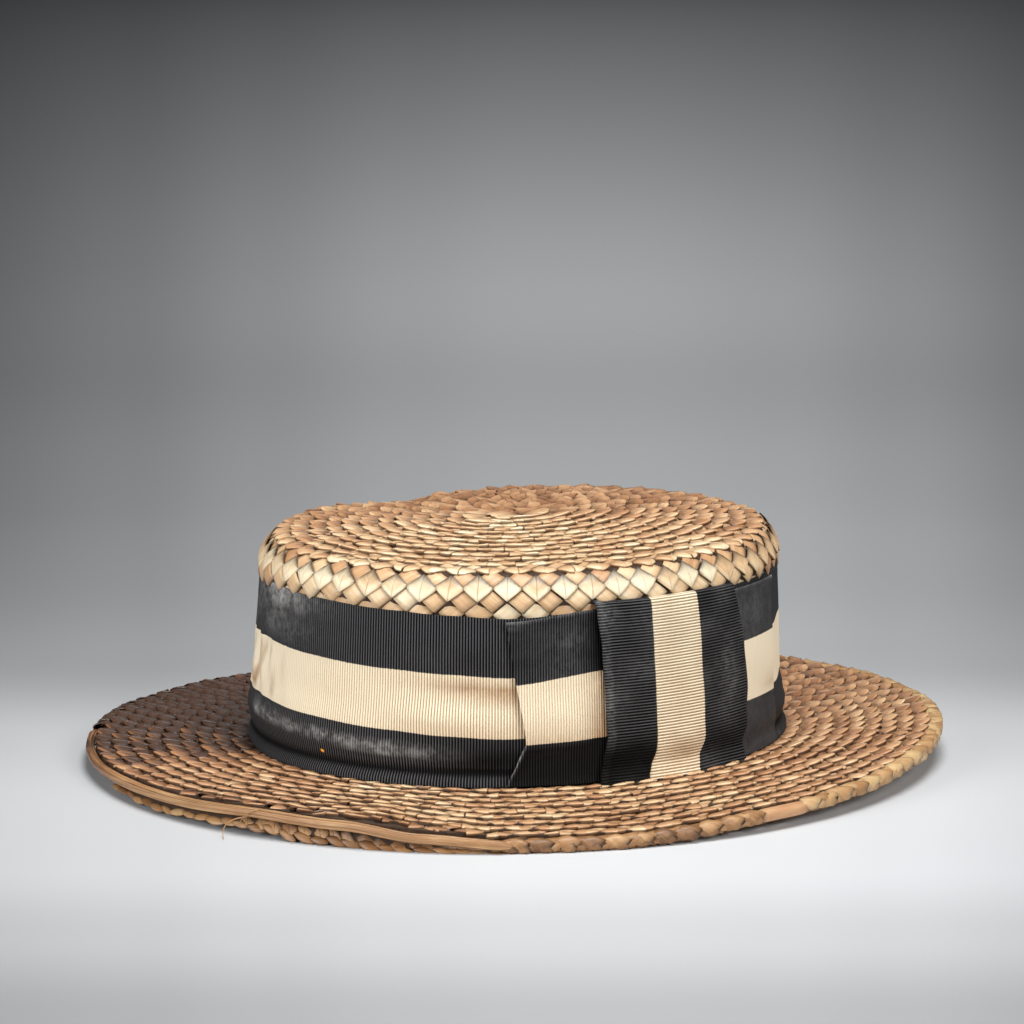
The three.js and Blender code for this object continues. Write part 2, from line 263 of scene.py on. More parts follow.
def grid_quads(rows, cols, wrap=False):
    """Quads of a grid whose second axis may close on itself; the face order points along rows x cols."""
    i = np.arange(rows * cols).reshape(rows, cols)
    if wrap:
        i = np.concatenate([i, i[:, :1]], 1)
    return np.stack([i[:-1, :-1], i[1:, :-1], i[1:, 1:], i[:-1, 1:]], -1).reshape(-1, 4)


class Plaitwork:
    """Gathers laid strands and joins them into one mesh."""

    def __init__(self):
        self.points, self.uv, self.values, self.faces, self.count = [], [], [], [], 0

    def add(self, laid, paleness_and_highlight):
        points, uv, tone, soil_and_shade = laid
        n, rows, cols, _ = points.shape
        i = np.arange(n * rows * cols).reshape(n, rows, cols) + self.count
        corners = i[:, :-1, 1:], i[:, 1:, 1:], i[:, 1:, :-1], i[:, :-1, :-1]
        self.faces.append(np.stack(corners, -1).reshape(-1, 4))
        self.points.append(points.reshape(-1, 3))
        self.uv.append(uv.reshape(-1, 2))
        # The painted edge highlight, kept below zero in the shade channel, is added to the paleness.
        paleness_and_highlight = np.asarray(paleness_and_highlight)[..., None, None] + 0.45 * np.clip(-soil_and_shade, 0, 1)
        self.values.append(np.stack([tone, np.clip(soil_and_shade, 0, 1), paleness_and_highlight], -1).reshape(-1, 3))
        self.count += n * rows * cols

    def row(self, surface, edge, paleness_and_highlight, slope, pitch, inward=False, lines=1, blunt=2.4, base=0.0,
            start=0.0, end=2 * np.pi, loose=1.0):
        """One row of plait: folded teeth at its edge, and lines of crossing strands inside it. The row
        rises by its slope over a pitch, from the row before to its own edge."""
        places = equal_places(surface, edge, start, end)
        half = 0.5 * (places[1] - places[0])
        teeth = [tooth_half(side, TOOTH_DEPTH, blunt) for side in (-1, 1)]
        for line in range(lines + 1):
            back = TOOTH_OVERHANG - TOOTH_DEPTH * (1 + line)
            spot = places + half * (line % 2)
            where = edge - back if inward else edge + back
            height = base + slope * (pitch + back)
            for tile in [crossing_strand(-1 if line % 2 else 1)] if line else teeth:
                laid = lay_tiles(surface, tile, spot, where, height, slope, inward, loose=loose)
                self.add(laid, paleness_and_highlight(spot))

    def piece(self, name):
        join = np.concatenate
        points = join(self.points)
        points[:, 2] = np.maximum(points[:, 2], 0.02)
        values = dict(zip(("tone", "soil_and_shade", "paleness_and_highlight"), join(self.values).T))
        return mesh_piece(name, points, join(self.faces), join(self.uv), values)


def tip_fade(angle):
    """Paleness of the tip's straw: tan, browner towards the far rim."""
    return 0.46 - 0.24 * np.cos(angle - TIP_LEAN_TOWARDS)


def shoulder_paleness_and_highlight(angle):
    """Paleness of the shoulder: palest beside the bow, partly bleached and partly a painted highlight,
    browner round at the far side.
    """
    return 1.04 - 0.4 * ease((1 - np.cos(angle - 312 * DEGREE)) / 2)


crown_work = Plaitwork()
for row in range(1, TIP_ROWS):
    slope, lines = ROW_STEP / TIP_PITCH, min(row - 1, 1)
    crown_work.row(crown_outside, TIP_PITCH * row, tip_fade, slope, TIP_PITCH, lines=lines)
crown_work.row(crown_outside, RIM_S - 0.4, tip_fade, 0.05, TIP_PITCH, base=0.25)
folds = equal_places(crown_outside, RIM_S + 7.0)
between = folds + 0.5 * (folds[1] - folds[0])
for surface, tile, spots, at, base, paler, over_ribbon in (
    (crown_outside, crossing_strand(-1, 4.6), between, RIM_S + 2.6, -0.05, -0.35, 0),
    (crown_outside, tooth(4.9, 1.12), folds, RIM_S + 7.0, 0.8, 0, 0),
    (crown_outside, crossing_strand(1, 4.7, 1.14), between, RIM_S + 11.9, -0.1, -0.26, 0.9),
    (side_outside, crossing_strand(-1, 4.7), folds, 1.7, 0.1, -0.2, 0),
):
    height = base + over_ribbon * hill(np.mod(spots / DEGREE, 360), 257, 17)
    laid = lay_tiles(surface, tile, spots, at, height[:, None, None], spin=0.04)
    crown_work.add(laid, shoulder_paleness_and_highlight(spots) + paler)
crown_plait = crown_work.piece("crown_plait")

inside_work = Plaitwork()
for row in range(TIP_ROWS):
    inside_work.row(tip_inside, 2.0 + TIP_PITCH * row, tip_fade, 0.08, TIP_PITCH, inward=True)
for row in range(11):
    inside_work.row(side_inside, -6.0 + 6.0 * row, tip_fade, 0.08, 6, inward=True, lines=0)
crown_inside = inside_work.piece("crown_inside")

turn = np.linspace(0, 2 * np.pi, 241)[None, :-1]
rings = [surface(turn, path[:, None] + 0 * turn, -CORE_SINK + 0 * turn) for surface, path in (
    (crown_outside, np.linspace(0, RIM_S + 14, 70)),
    (side_outside, np.linspace(1.0, BAND_TOP - CROWN_FOOT, 12)),
    (side_inside, np.linspace(BAND_TOP - CROWN_FOOT, -8, 12)),
    (tip_inside, np.linspace(RIM_X - 1.2, 0.4, 40)),
)]
core = np.concatenate(rings)
crown_core = mesh_piece("crown_core", core.reshape(-1, 3), grid_quads(len(core), turn.size, True),
                        np.zeros((core[..., 0].size, 2)), {})
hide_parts("crown")


def node_maker(tree):
    """A short way to add a node to a tree, with its settings, values and links."""

    def make(kind, inputs=None, **settings):
        node = tree.nodes.new(kind)
        for key, value in settings.items():
            setattr(node, key, value)
        for key, value in (inputs or {}).items():
            if isinstance(value, bpy.types.NodeSocket):
                tree.links.new(value, node.inputs[key])
            else:
                node.inputs[key].default_value = value
        return node

    return make


def maths(make):
    """A short way to add, multiply and compare sockets and numbers."""
    return lambda kind, *of: make("ShaderNodeMath", dict(enumerate(of)), operation=kind).outputs["Value"]


def new_group(name, inputs, outputs):
    """An empty shader node group with named sockets: its tree, its maker, its in and out nodes."""
    tree = bpy.data.node_groups.new(name, "ShaderNodeTree")
    for key, kind in inputs.items():
        tree.interface.new_socket(key, in_out="INPUT", socket_type=kind)
    for key, kind in outputs.items():
        tree.interface.new_socket(key, in_out="OUTPUT", socket_type=kind)
    make = node_maker(tree)
    return tree, make, make("NodeGroupInput"), make("NodeGroupOutput")


def ramp(make, factor, stops):
    """A colour ramp through (place, colour) stops."""
    node = make("ShaderNodeValToRGB", {"Fac": factor})
    marks = node.color_ramp.elements
    while len(marks) < len(stops):
        marks.new(0.5)
    for mark, (place, colour) in zip(marks, stops):
        mark.position = place
        mark.color = (*colour, 1)
    return node.outputs["Color"]


def blend(make, factor, one, other, kind="MIX"):
    """Mix of two colours."""
    node = make("ShaderNodeMix", {"Factor": factor, 6: one, 7: other}, data_type="RGBA", blend_type=kind)
    return node.outputs[2]


VALUE, COLOUR, VECTOR = "NodeSocketFloat", "NodeSocketColor", "NodeSocketVector"


def straw_group():
    """Dry straw: fibre lines along each strand, a tone for each strand, and painted shade where strands dive
    and between them.
    """
    tree, make, given, result = new_group(
        "straw strand",
        {"Strand": VECTOR, "Place": VECTOR, "Tone": VALUE, "SoilAndShade": VALUE, "Fade": VALUE},
        {"Color": COLOUR, "Roughness": VALUE, "Height": VALUE},
    )
    add = maths(make)
    along = make("ShaderNodeMapping", {"Vector": given.outputs["Strand"], "Scale": (0.10, 2.6, 1.0)})
    fibres = make("ShaderNodeTexNoise", {"Vector": along.outputs["Vector"], "Scale": 1.0, "Detail": 3.0})
    streak = make("ShaderNodeMapping", {"Vector": given.outputs["Strand"], "Scale": (0.06, 0.45, 1.0)})
    streaks = make("ShaderNodeTexNoise", {"Vector": streak.outputs["Vector"], "Scale": 1.0, "Detail": 2.0})
    blotch = make("ShaderNodeTexNoise", {"Vector": given.outputs["Place"], "Scale": 26.0, "Detail": 3.0})
    pale = add("MULTIPLY", given.outputs["Tone"], 0.34)
    pale = add("MULTIPLY_ADD", given.outputs["Fade"], 0.7, pale)
    for noise, share in ((fibres, 0.3), (streaks, 0.4), (blotch, 0.4)):
        pale = add("MULTIPLY_ADD", add("SUBTRACT", noise.outputs["Fac"], 0.5), share, pale)
    colour = ramp(make, pale, (
        (0.0, (0.075, 0.034, 0.018)),
        (0.25, (0.33, 0.148, 0.062)),
        (0.5, (0.55, 0.30, 0.148)),
        (0.75, (0.76, 0.52, 0.29)),
        (1.0, (0.92, 0.79, 0.55)),
    ))
    # Painted shade where strands dive, in cracks and under laps; on the bare cane the same channel carries
    # real dark marks.
    soil_and_shade_mix = add("MULTIPLY", given.outputs["SoilAndShade"], 0.95)
    tree.links.new(blend(make, soil_and_shade_mix, colour, (0.022, 0.009, 0.004, 1)), result.inputs["Color"])
    rough = make("ShaderNodeMapRange", {"Value": fibres.outputs["Fac"], "To Min": 0.28, "To Max": 0.5})
    tree.links.new(rough.outputs["Result"], result.inputs["Roughness"])
    tree.links.new(fibres.outputs["Fac"], result.inputs["Height"])
    return tree


STRAW_GROUP = straw_group()


def straw_material(name, tint=(1, 1, 1), relief=0.25):
    """Straw finish that reads the strand uv and the tone, the painted shade, and the paleness with its
    painted highlight of each strand.
    """
    material = bpy.data.materials.new(name)
    material.use_nodes = True
    tree = material.node_tree
    make = node_maker(tree)
    shader = tree.nodes["Principled BSDF"]
    read = lambda key: make("ShaderNodeAttribute", attribute_name=key).outputs["Fac"]
    straw = make("ShaderNodeGroup", node_tree=STRAW_GROUP)
    sockets = {
        "Strand": make("ShaderNodeUVMap", uv_map="strand").outputs["UV"],
        "Place": make("ShaderNodeTexCoord").outputs["Object"],
        "Tone": read("tone"), "SoilAndShade": read("soil_and_shade"), "Fade": read("paleness_and_highlight"),
    }
    for key, socket in sockets.items():
        tree.links.new(socket, straw.inputs[key])
    tinted = blend(make, 1.0, straw.outputs["Color"], (*tint, 1), "MULTIPLY")
    tree.links.new(tinted, shader.inputs["Base Color"])
    tree.links.new(straw.outputs["Roughness"], shader.inputs["Roughness"])
    bump = make("ShaderNodeBump", {"Height": straw.outputs["Height"], "Strength": relief, "Distance": 0.0006})
    tree.links.new(bump.outputs["Normal"], shader.inputs["Normal"])
    shader.inputs["Specular IOR Level"].default_value = 0.5
    return material


def core_material(name, dark, light):
    """Inner straw, seen only in the gaps between strands, coloured near black as painted shade."""
    material = bpy.data.materials.new(name)
    material.use_nodes = True
    make = node_maker(material.node_tree)
    shader = material.node_tree.nodes["Principled BSDF"]
    place = make("ShaderNodeTexCoord").outputs["Object"]
    grain = make("ShaderNodeTexNoise", {"Vector": place, "Scale": 700.0, "Detail": 3.0})
    shade = ramp(make, grain.outputs["Fac"], ((0.3, dark), (0.7, light)))
    material.node_tree.links.new(shade, shader.inputs["Base Color"])
    bump = make("ShaderNodeBump", {"Height": grain.outputs["Fac"], "Strength": 0.4, "Distance": 0.0004})
    material.node_tree.links.new(bump.outputs["Normal"], shader.inputs["Normal"])
    shader.inputs["Roughness"].default_value = 0.75
    return material


def dress(piece, material):
    """Gives a piece its finish, in its one material slot."""
    piece.data.materials.clear()
    piece.data.materials.append(material)


sewn_straw = straw_material("sewn straw plait")
# Near-black inner straw, painted shade for the gaps between strands.
core_in_painted_shade = core_material("straw in painted shade between the strands", (0.02, 0.009, 0.004), (0.07, 0.033, 0.014))
dress(crown_plait, sewn_straw)
dress(crown_inside, sewn_straw)
dress(crown_core, core_in_painted_shade)

# Brim
# A flat ring of the same plait, sewn to the crown's foot and lapped outwards row by row. Damp has
# warped it, and along one stretch the last row is bare because its binding has come away.

BRIM_TOP = 7.4                         # top of the brim where the crown stands on it
BRIM_FIRST, BRIM_OUT = 1.3, 54.6       # where the rows start and end, outwards from the crown
BRIM_WORN_OUT = 56.4                   # the same end where the binding is gone
BRIM_ROWS = 9
BRIM_PITCH = (BRIM_OUT - BRIM_FIRST) / BRIM_ROWS
BRIM_CURL = 1.3                        # how late the brim's warp sets in
EDGE_REACH = 60.7
CANE_FROM, CANE_TO = 231.6, 322.4      # the worn stretch, in degrees
WORN_FADE = 3
FRAY_FROM, FRAY_TO = 266, 318          # where the last row's teeth are frayed, in degrees
BRIM_FADE = (                          # degrees, paleness of the straw
    (0, 0.4), (40, 0.34), (75, 0.22), (120, 0.06), (180, -0.42), (222, -0.74), (242, -0.34), (266, 0.26),
    (300, 0.48),
)
BRIM_EDGE = (                          # degrees, height of the brim's middle at its edge
    (0, 5.6), (13, 7.3), (30, 9.3), (50, 11.0), (74, 9.3), (100, 7.6),
    (128, 2.3), (154, 2.3), (180, 2.3), (202, 3.8), (222, 5.9), (248, 5.7),
    (272, 6.7), (289, 8.2), (301, 7.2), (311, 4.9), (322, 2.3), (336, 2.3),
)


def oval(half_x, half_y, angle, out):
    """Ellipse at a parameter angle, moved outwards along its unit normal."""
    c, s = np.cos(angle), np.sin(angle)
    nx, ny = c / half_x, s / half_y
    n = np.hypot(nx, ny)
    return half_x * c + out * nx / n, half_y * s + out * ny / n


def brim_middle(angle, out):
    """Height of the brim's middle: from the crown's foot to the warped edge, by a power of distance."""
    inner = BRIM_TOP - STRAW_WALL / 2
    share = np.clip(out / EDGE_REACH, 0, 1) ** BRIM_CURL
    return inner + (along_table(BRIM_EDGE, angle / DEGREE, 360) - inner) * share


def worn(angle):
    """1 along the stretch whose binding is gone, fading to 0 at its two ends."""
    degrees = np.mod(angle / DEGREE, 360)
    return ease((degrees - CANE_FROM - 1) / WORN_FADE) * ease((CANE_TO - 1 - degrees) / WORN_FADE)


def brim_level(angle, out, up):
    """Point at a distance outwards from the crown and a height above the brim's middle."""
    torn = 1 - 2.2 * hill(np.mod(angle / DEGREE, 360), 305, 7)
    out = out * (1 + (BRIM_WORN_OUT / BRIM_OUT - 1) * worn(angle) * torn)
    x, y = oval(CROWN_X, CROWN_Y, angle, out)
    return np.stack([x, y, brim_middle(angle, out) + up], -1)


def brim_above(angle, out, lift):
    """Over the brim's top."""
    return brim_level(angle, out, STRAW_WALL / 2 + lift)


def brim_below(angle, out, lift):
    """Under the brim, with the lift measured downwards."""
    return brim_level(angle, np.minimum(out, BRIM_OUT), -STRAW_WALL / 2 - lift)


def brim_fade(angle):
    """Paleness of the brim's straw round the hat: darkest at the wearer's front, palest by the bow."""
    return along_table(BRIM_FADE, angle / DEGREE, 360)


def frayed_fade(angle):
    """Paleness of the frayed teeth, browner than the brim."""
    return brim_fade(angle) - 0.32


brim_work = Plaitwork()
slope = ROW_STEP / BRIM_PITCH
for row in range(1, BRIM_ROWS):
    brim_work.row(brim_above, BRIM_FIRST + BRIM_PITCH * row, brim_fade, slope, BRIM_PITCH)
edge = BRIM_FIRST + BRIM_PITCH * BRIM_ROWS
brim_work.row(brim_above, edge, brim_fade, slope, BRIM_PITCH, start=(FRAY_TO - 360) * DEGREE,
              end=FRAY_FROM * DEGREE)
brim_work.row(brim_above, edge, frayed_fade, slope, BRIM_PITCH, start=FRAY_FROM * DEGREE,
              end=FRAY_TO * DEGREE, loose=2.4, blunt=1.4)
brim_plait = brim_work.piece("brim_plait")
dress(brim_plait, sewn_straw)

under_work = Plaitwork()
for row in range(BRIM_ROWS):
    edge = BRIM_FIRST - 1 + BRIM_PITCH * row
    under_work.row(brim_below, edge, brim_fade, 0.07, BRIM_PITCH, inward=True, base=-0.1)
brim_underside = under_work.piece("brim_underside")
dress(brim_underside, sewn_straw)
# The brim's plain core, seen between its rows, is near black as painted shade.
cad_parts["brim"].data.materials.clear()
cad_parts["brim"].data.materials.append(core_in_painted_shade)

# Edge plait
# A narrower, paler plait folded round the brim's edge as a binding. Its strands lie like leaves,
# each tucked under the next; it runs round all of the edge but the worn stretch.

PLAIT_FROM, PLAIT_TO = -37.0, 231.0
PLAIT_WIDTH, PLAIT_HEIGHT, PLAIT_FLATNESS = 5.6, 4.6, 0.6
PLAIT_ROUND = 2.75                     # mean radius of its section
BARE_FROM, BARE_TO = -5.6, 4.0         # a short stretch that has lost its leaves
EDGE_FADE = (                          # degrees, paleness of its leaves
    (-40, 0.12), (-15, 0.2), (20, 0.54), (60, 0.55), (100, 0.36), (140, 0.1), (190, -0.35), (231, -0.5),
)
CORE_INSET = 0.75                      # the plain core, below the leaves
LEAF_LINES, LEAF_PITCH, LEAF_STEP = 5, 8.6, 3.46   # lines of leaves, and their spacing along and around


def plait_skin(angle, around, lift):
    """Round the folded plait: a distance round its section, from the top, outwards and under."""
    turn = np.pi / 2 - around / PLAIT_ROUND
    power = lambda t: np.sign(t) * np.abs(t) ** PLAIT_FLATNESS
    sideways = (PLAIT_WIDTH / 2 + lift) * power(np.cos(turn))
    up = (PLAIT_HEIGHT / 2 + lift) * power(np.sin(turn))
    x, y = oval(CROWN_X, CROWN_Y, angle, EDGE_REACH - PLAIT_WIDTH / 2 + sideways)
    return np.stack([x, y, np.maximum(brim_middle(angle, EDGE_REACH) + up, 0.02)], -1)


def bare(angle):
    """1 where the binding's leaves are gone, easing to 0 beside it."""
    return ease((angle / DEGREE - BARE_FROM) / 2) * ease((BARE_TO - angle / DEGREE) / 2)


def plain_values(points, paleness_and_highlight, soil_and_shade):
    """The same tone, soil and fade all over a plain strip."""
    flat = np.ones(points.reshape(-1, 3).shape[0])
    return {"tone": 0.5 * flat, "soil_and_shade": soil_and_shade * flat, "paleness_and_highlight": paleness_and_highlight * flat}


angle, around = np.meshgrid(np.linspace(PLAIT_FROM, PLAIT_TO, 260) * DEGREE,
                            np.linspace(0, 2 * np.pi * PLAIT_ROUND, 15)[:-1], indexing="ij")
core = plait_skin(angle, around, -CORE_INSET * (1 - 0.7 * bare(angle)))
core[[0, -1]] = core[[0, -1]].mean(1, keepdims=True)
# Painted shade on the core, which shows between the leaves.
core_values = {"tone": 0.5 + 0 * angle, "soil_and_shade": 0.85 * (1 - bare(angle)), "paleness_and_highlight": 0.2 + 0.3 * bare(angle)}
edge_core = mesh_piece("edge_plait_core", core.reshape(-1, 3), grid_quads(*angle.shape, True)[:, ::-1],
                       np.stack([angle * 150, around], -1).reshape(-1, 2), core_values)

edge_work = Plaitwork()
span = (PLAIT_FROM * DEGREE, PLAIT_TO * DEGREE)
for line in range(LEAF_LINES):
    spots = equal_places(plait_skin, 3.45, *span, pitch=LEAF_PITCH)
    spots = spots + 0.5 * (spots[1] - spots[0]) * (line % 2)
    spots = spots[spots < span[1]]
    spots = np.append(spots[bare(spots) < 0.4], span[0] - 0.012)
    leaf = crossing_strand(-1 if line in (2, 3) else 1, depth=5.4, reach=1.3)
    leaf[2] = STRAND_LIFT + 0.6 * (leaf[2] - STRAND_LIFT) + 0.1 * leaf[4]
    # Thinner painted shade round each leaf.
    leaf[5] = leaf[5] ** 1.3
    laid = lay_tiles(plait_skin, leaf, spots, -1.2 + LEAF_STEP * line, -0.4, scale=0.92, spin=0.08)
    edge_work.add(laid, along_table(EDGE_FADE, spots / DEGREE))
edge_leaves = edge_work.piece("edge_plait_leaves")
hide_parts("edge_plait")
pale_straw = straw_material("pale binding straw", (0.93, 0.98, 0.88))
dress(edge_core, sewn_straw)
dress(edge_leaves, pale_straw)

# Edge cane
# A split cane that stiffens the brim's edge, bare along the worn stretch: smooth, brown and grained,
# its end tucked under the first leaf of the binding.

CANE_WIDTH, CANE_HEIGHT, CANE_LENGTH = 3.2, 3.2, 250


def ripple(x, y, size, seed, count=7):
    """Smooth seeded unevenness of about unit height: a sum of sine waves of near sizes, all ways."""
    chance = np.random.default_rng(seed)
    total = 0
    for way, length, phase in zip(chance.uniform(0, np.pi, count), chance.uniform(0.6, 1.7, count),
                                  chance.uniform(0, 6.3, count)):
        total = total + np.sin(2 * np.pi * (x * np.cos(way) + y * np.sin(way)) / (size * length) + phase)
    return total / count ** 0.5


def cane_skin(share, turn):
    """Round the cane: a rounded oblong section carried along the edge, thinned at both ends, with ridges
    that run along it and a slow waver in height."""
    angle = (CANE_FROM + (CANE_TO - CANE_FROM) * share) * DEGREE
    along = share * CANE_LENGTH
    taper = 0.55 + 0.45 * ease(share / 0.03) * ease((1 - share) / 0.02)
    ridges = 0.10 * ripple(along * 0.02, turn * 2.2, 1.3, 4) + 0.06 * ripple(along * 0.05, turn * 5, 1.1, 5)
    power = lambda t: np.sign(t) * np.abs(t) ** 0.7
    sideways = (CANE_WIDTH / 2 + ridges) * power(np.cos(turn)) * taper
    up = (CANE_HEIGHT / 2 + ridges) * power(np.sin(turn)) * taper
    waver = 0.2 * ripple(along, 0 * along, 60, 6)
    x, y = oval(CROWN_X, CROWN_Y, angle, EDGE_REACH + 0.5 - CANE_WIDTH / 2 + sideways + waver)
    z = brim_middle(angle, EDGE_REACH) + up + 0.25 * ripple(along, 0 * along, 45, 7) * taper
    return np.stack([x, y, np.maximum(z, 0.02)], -1)


share, turn = np.meshgrid(np.linspace(0, 1, 300), np.linspace(0, 2 * np.pi, 55)[:-1], indexing="ij")
skin = cane_skin(share, turn)
skin[[0, -1]] = skin[[0, -1]].mean(1, keepdims=True)
cane_values = {
    "tone": 0.5 + 0.3 * ripple(share * 6, turn * 2.1, 1.2, 8),
    "soil_and_shade": np.clip(1.1 * ripple(share * 1.4, turn * 2.4, 1.0, 9) - 0.45, 0, 0.9),
    "paleness_and_highlight": -0.1 + 0.5 * ease((share - 0.05) / 0.4),
}
cane = mesh_piece("edge_cane_strip", skin.reshape(-1, 3), grid_quads(*share.shape, True),
                  np.stack([share * CANE_LENGTH, turn * 1.4], -1).reshape(-1, 2), cane_values)
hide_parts("edge_cane")
cane_finish = straw_material("bare split cane", (0.86, 0.86, 0.78), 0.7)
dress(cane, cane_finish)

# Loose plait
# The binding plait that has torn off and hangs under the bare cane: a ragged strip whose folded leaf
# ends point down and out.

LOOSE_FROM, LOOSE_TO = 258.0, 321.0
LOOSE_MIDDLE = 59.5
LOOSE_EDGE = ((256, 2.4), (270, 1.5), (286, 2.3), (294, 1.6), (303, 0.0), (322, 0.0))
LOOSE_UNDER = 1.8                      # its top edge below the brim's middle


def loose_face(angle, down, lift):
    """Outer face of the hanging strip: from the cane, where it is set back, down to the ragged edge."""
    low = along_table(LOOSE_EDGE, angle / DEGREE)
    high = brim_middle(angle, EDGE_REACH) - LOOSE_UNDER
    x, y = oval(CROWN_X, CROWN_Y, angle, LOOSE_MIDDLE - 0.6 * (4 - down) + lift)
    return np.stack([x, y, np.maximum(high - down * (high - low) / 4.0, 0.02)], -1)


angle, turn = np.meshgrid(np.linspace(LOOSE_FROM, LOOSE_TO, 120) * DEGREE,
                          np.linspace(0, 2 * np.pi, 13)[:-1], indexing="ij")
strip = loose_face(angle, 1.3 - 1.7 * np.sin(turn), -0.6 + 0.5 * np.cos(turn))
strip[[0, -1]] = strip[[0, -1]].mean(1, keepdims=True)
# Its near-black core is painted shade in the gap under the cane.
loose_core = mesh_piece("loose_plait_core", strip.reshape(-1, 3), grid_quads(*angle.shape, True),
                        np.stack([angle * 150, turn], -1).reshape(-1, 2), plain_values(strip, 0.0, 0.95))
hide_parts("loose_plait")
dress(loose_core, core_in_painted_shade)


def folded_turn():
    """One rounded turn of the plait's folded edge: a pillow that lies aslant and narrows to both ends."""
    p = np.array([-1, -0.9, -0.5, 0, 0.5, 0.9, 1.0])[:, None]
    q = np.array([-1, -0.85, -0.4, 0.1, 0.6, 0.9, 1.0])[None, :]
    a = 3.7 * p + 0 * q
    b = 1.3 * q * (1 - 0.75 * p ** 2) + 0.13 * a
    c = 0.7 * np.sqrt(np.maximum(1 - q ** 2, 0)) * (1 - 0.6 * p ** 2) - 0.1 * a - 0.3
    # Painted shade round its rim, where it tucks under.
    soil_and_shade = np.maximum(0.9 * np.abs(q) ** 6, 0.8 * np.abs(p) ** 8)
    return [a, b, c, a, b, soil_and_shade]


loose_work = Plaitwork()
ragged = tooth(2.9, 2.6)
ragged[0] = ragged[0] + 0.55 * ragged[1]
for tile, down, base, slope, size, start, pitch in (
    (ragged, 1.4, -0.3, 0.12, 0.62, 286, 5.4),
    (folded_turn(), 3.3, 0.3, 0, 1, LOOSE_FROM, 6.1),
):
    spots = equal_places(loose_face, down, start * DEGREE, LOOSE_TO * DEGREE, pitch)
    laid = lay_tiles(loose_face, tile, spots, down, base, slope, scale=size, spin=0.07 / size, loose=1.4)
    degrees = spots / DEGREE
    loose_work.add(laid, 0.36 - 0.25 * ease((276 - degrees) / 14) - 0.22 * ease((degrees - 290) / 8))
loose_leaves = loose_work.piece("loose_plait_leaves")
dress(loose_leaves, pale_straw)


def loose_fibre(name, start, bend, end):
    """A fine fibre: a thin tube along a curve from start to end, drawn towards the bend. Each point is
    degrees, distance out from the crown and height."""
    start, bend, end = np.array([start, bend, end])
    t = np.linspace(0, 1, 24)[:, None]
    degrees, out, height = ((1 - t) ** 2 * start + 2 * t * (1 - t) * bend + t ** 2 * end).T
    x, y = oval(CROWN_X, CROWN_Y, degrees * DEGREE, out)
    line = np.stack([x, y, height], -1)
    ahead = np.gradient(line, axis=0)
    ahead = ahead / np.linalg.norm(ahead, axis=1, keepdims=True)
    aside = np.cross(ahead, np.stack([np.cos(degrees * DEGREE), np.sin(degrees * DEGREE), 0 * x], -1))
    aside = aside / np.linalg.norm(aside, axis=1, keepdims=True)
    turn = np.linspace(0, 2 * np.pi, 6)[None, :-1, None]
    radius = 0.27 * (1 - 0.5 * t[:, :, None])
    around = np.cos(turn) * aside[:, None] + np.sin(turn) * np.cross(ahead, aside)[:, None]
    tube = line[:, None] + radius * around
    uv = np.stack(np.broadcast_arrays(t * 12, turn[..., 0]), -1)
    piece = mesh_piece(name, tube.reshape(-1, 3), grid_quads(*tube.shape[:2], True), uv.reshape(-1, 2),
                       plain_values(tube, 0.35, 0.0))
    dress(piece, pale_straw)


loose_fibre("loose_fibre_long", (287.8, 60.5, 6.6), (284.2, 63, 5.0), (286.6, 69, 0.3))
loose_fibre("loose_fibre_short", (289.8, 61.0, 9.9), (287.9, 62.6, 9.0), (287.4, 62.6, 5.2))

# Hat band
# A ribbed silk ribbon of three equal stripes, black, cream and black, drawn round the crown's side.
# It has slumped: folds have set above its foot, and its middle bulges beside the bow.

BAND_FOOT = 8.3
RIBBON_WIDTH = BAND_TOP - BAND_FOOT
RIBBON_OUT = 0.8                       # its middle, outwards from the crown wall
RIBBON_THICK = 0.55
RIB_PITCH = 1.03
RIB_HEIGHT = 0.2
RIB_BOLD = (                           # degrees, how clearly the ribs show
    (0, 0.4), (40, 0.3), (90, 0.6), (225, 0.6), (245, 0.22), (264, 0.35), (288, 0.85), (305, 1.0), (330, 1.0),
)
CREAM_FROM, CREAM_TO = 0.325, 0.667    # the cream stripe, as shares of the width
BAND_FOLDS = (                         # rise above its foot, swell
    (0, 2.2), (1.5, 2.1), (3.6, 1.0), (4.9, -0.15), (6.6, 0.7), (10, 1.9), (14, 1.1), (20, 0.1), (60, 0),
)
BAND_CREST = (                         # degrees, rise of the folds' crest
    (0, 10), (230, 12), (250, 14), (275, 13), (308, 11), (330, 10),
)
BAND_SLUMP = (                         # degrees, rise of its middle
    (0, 0.2), (40, 0.3), (47, 2.6), (62, 2.0), (90, 0.3), (230, 0), (252, 0.6), (275, -0.3), (297, -1.4),
    (310, -2.3), (323, -3.3), (342, -1.5),
)
ARC_RADIUS = 97                        # turns an angle round the ribbon into a length


def wall_point(angle, out, height):
    """Beside the crown's leaning oval wall, outwards along its normal."""
    lean = (height - CROWN_FOOT) / (BAND_TOP - CROWN_FOOT)
    x, y = oval(CROWN_X - TAPER_X * lean, CROWN_Y - TAPER_Y * lean, angle, out)
    shift = CROWN_SHIFT * np.clip(lean, 0, 1)
    return np.stack([x + shift * np.cos(CROWN_SHIFT_TOWARDS), y + shift * np.sin(CROWN_SHIFT_TOWARDS),
                     height + 0 * x], -1)


def band_rise(degrees, height):
    """Rise above the band's foot, squeezed above the valley so that the crest always comes at 10."""
    rise = height - BAND_FOOT
    return np.where(rise < 5, rise, 5 + (rise - 5) * 5 / (along_table(BAND_CREST, degrees, 360) - 5))


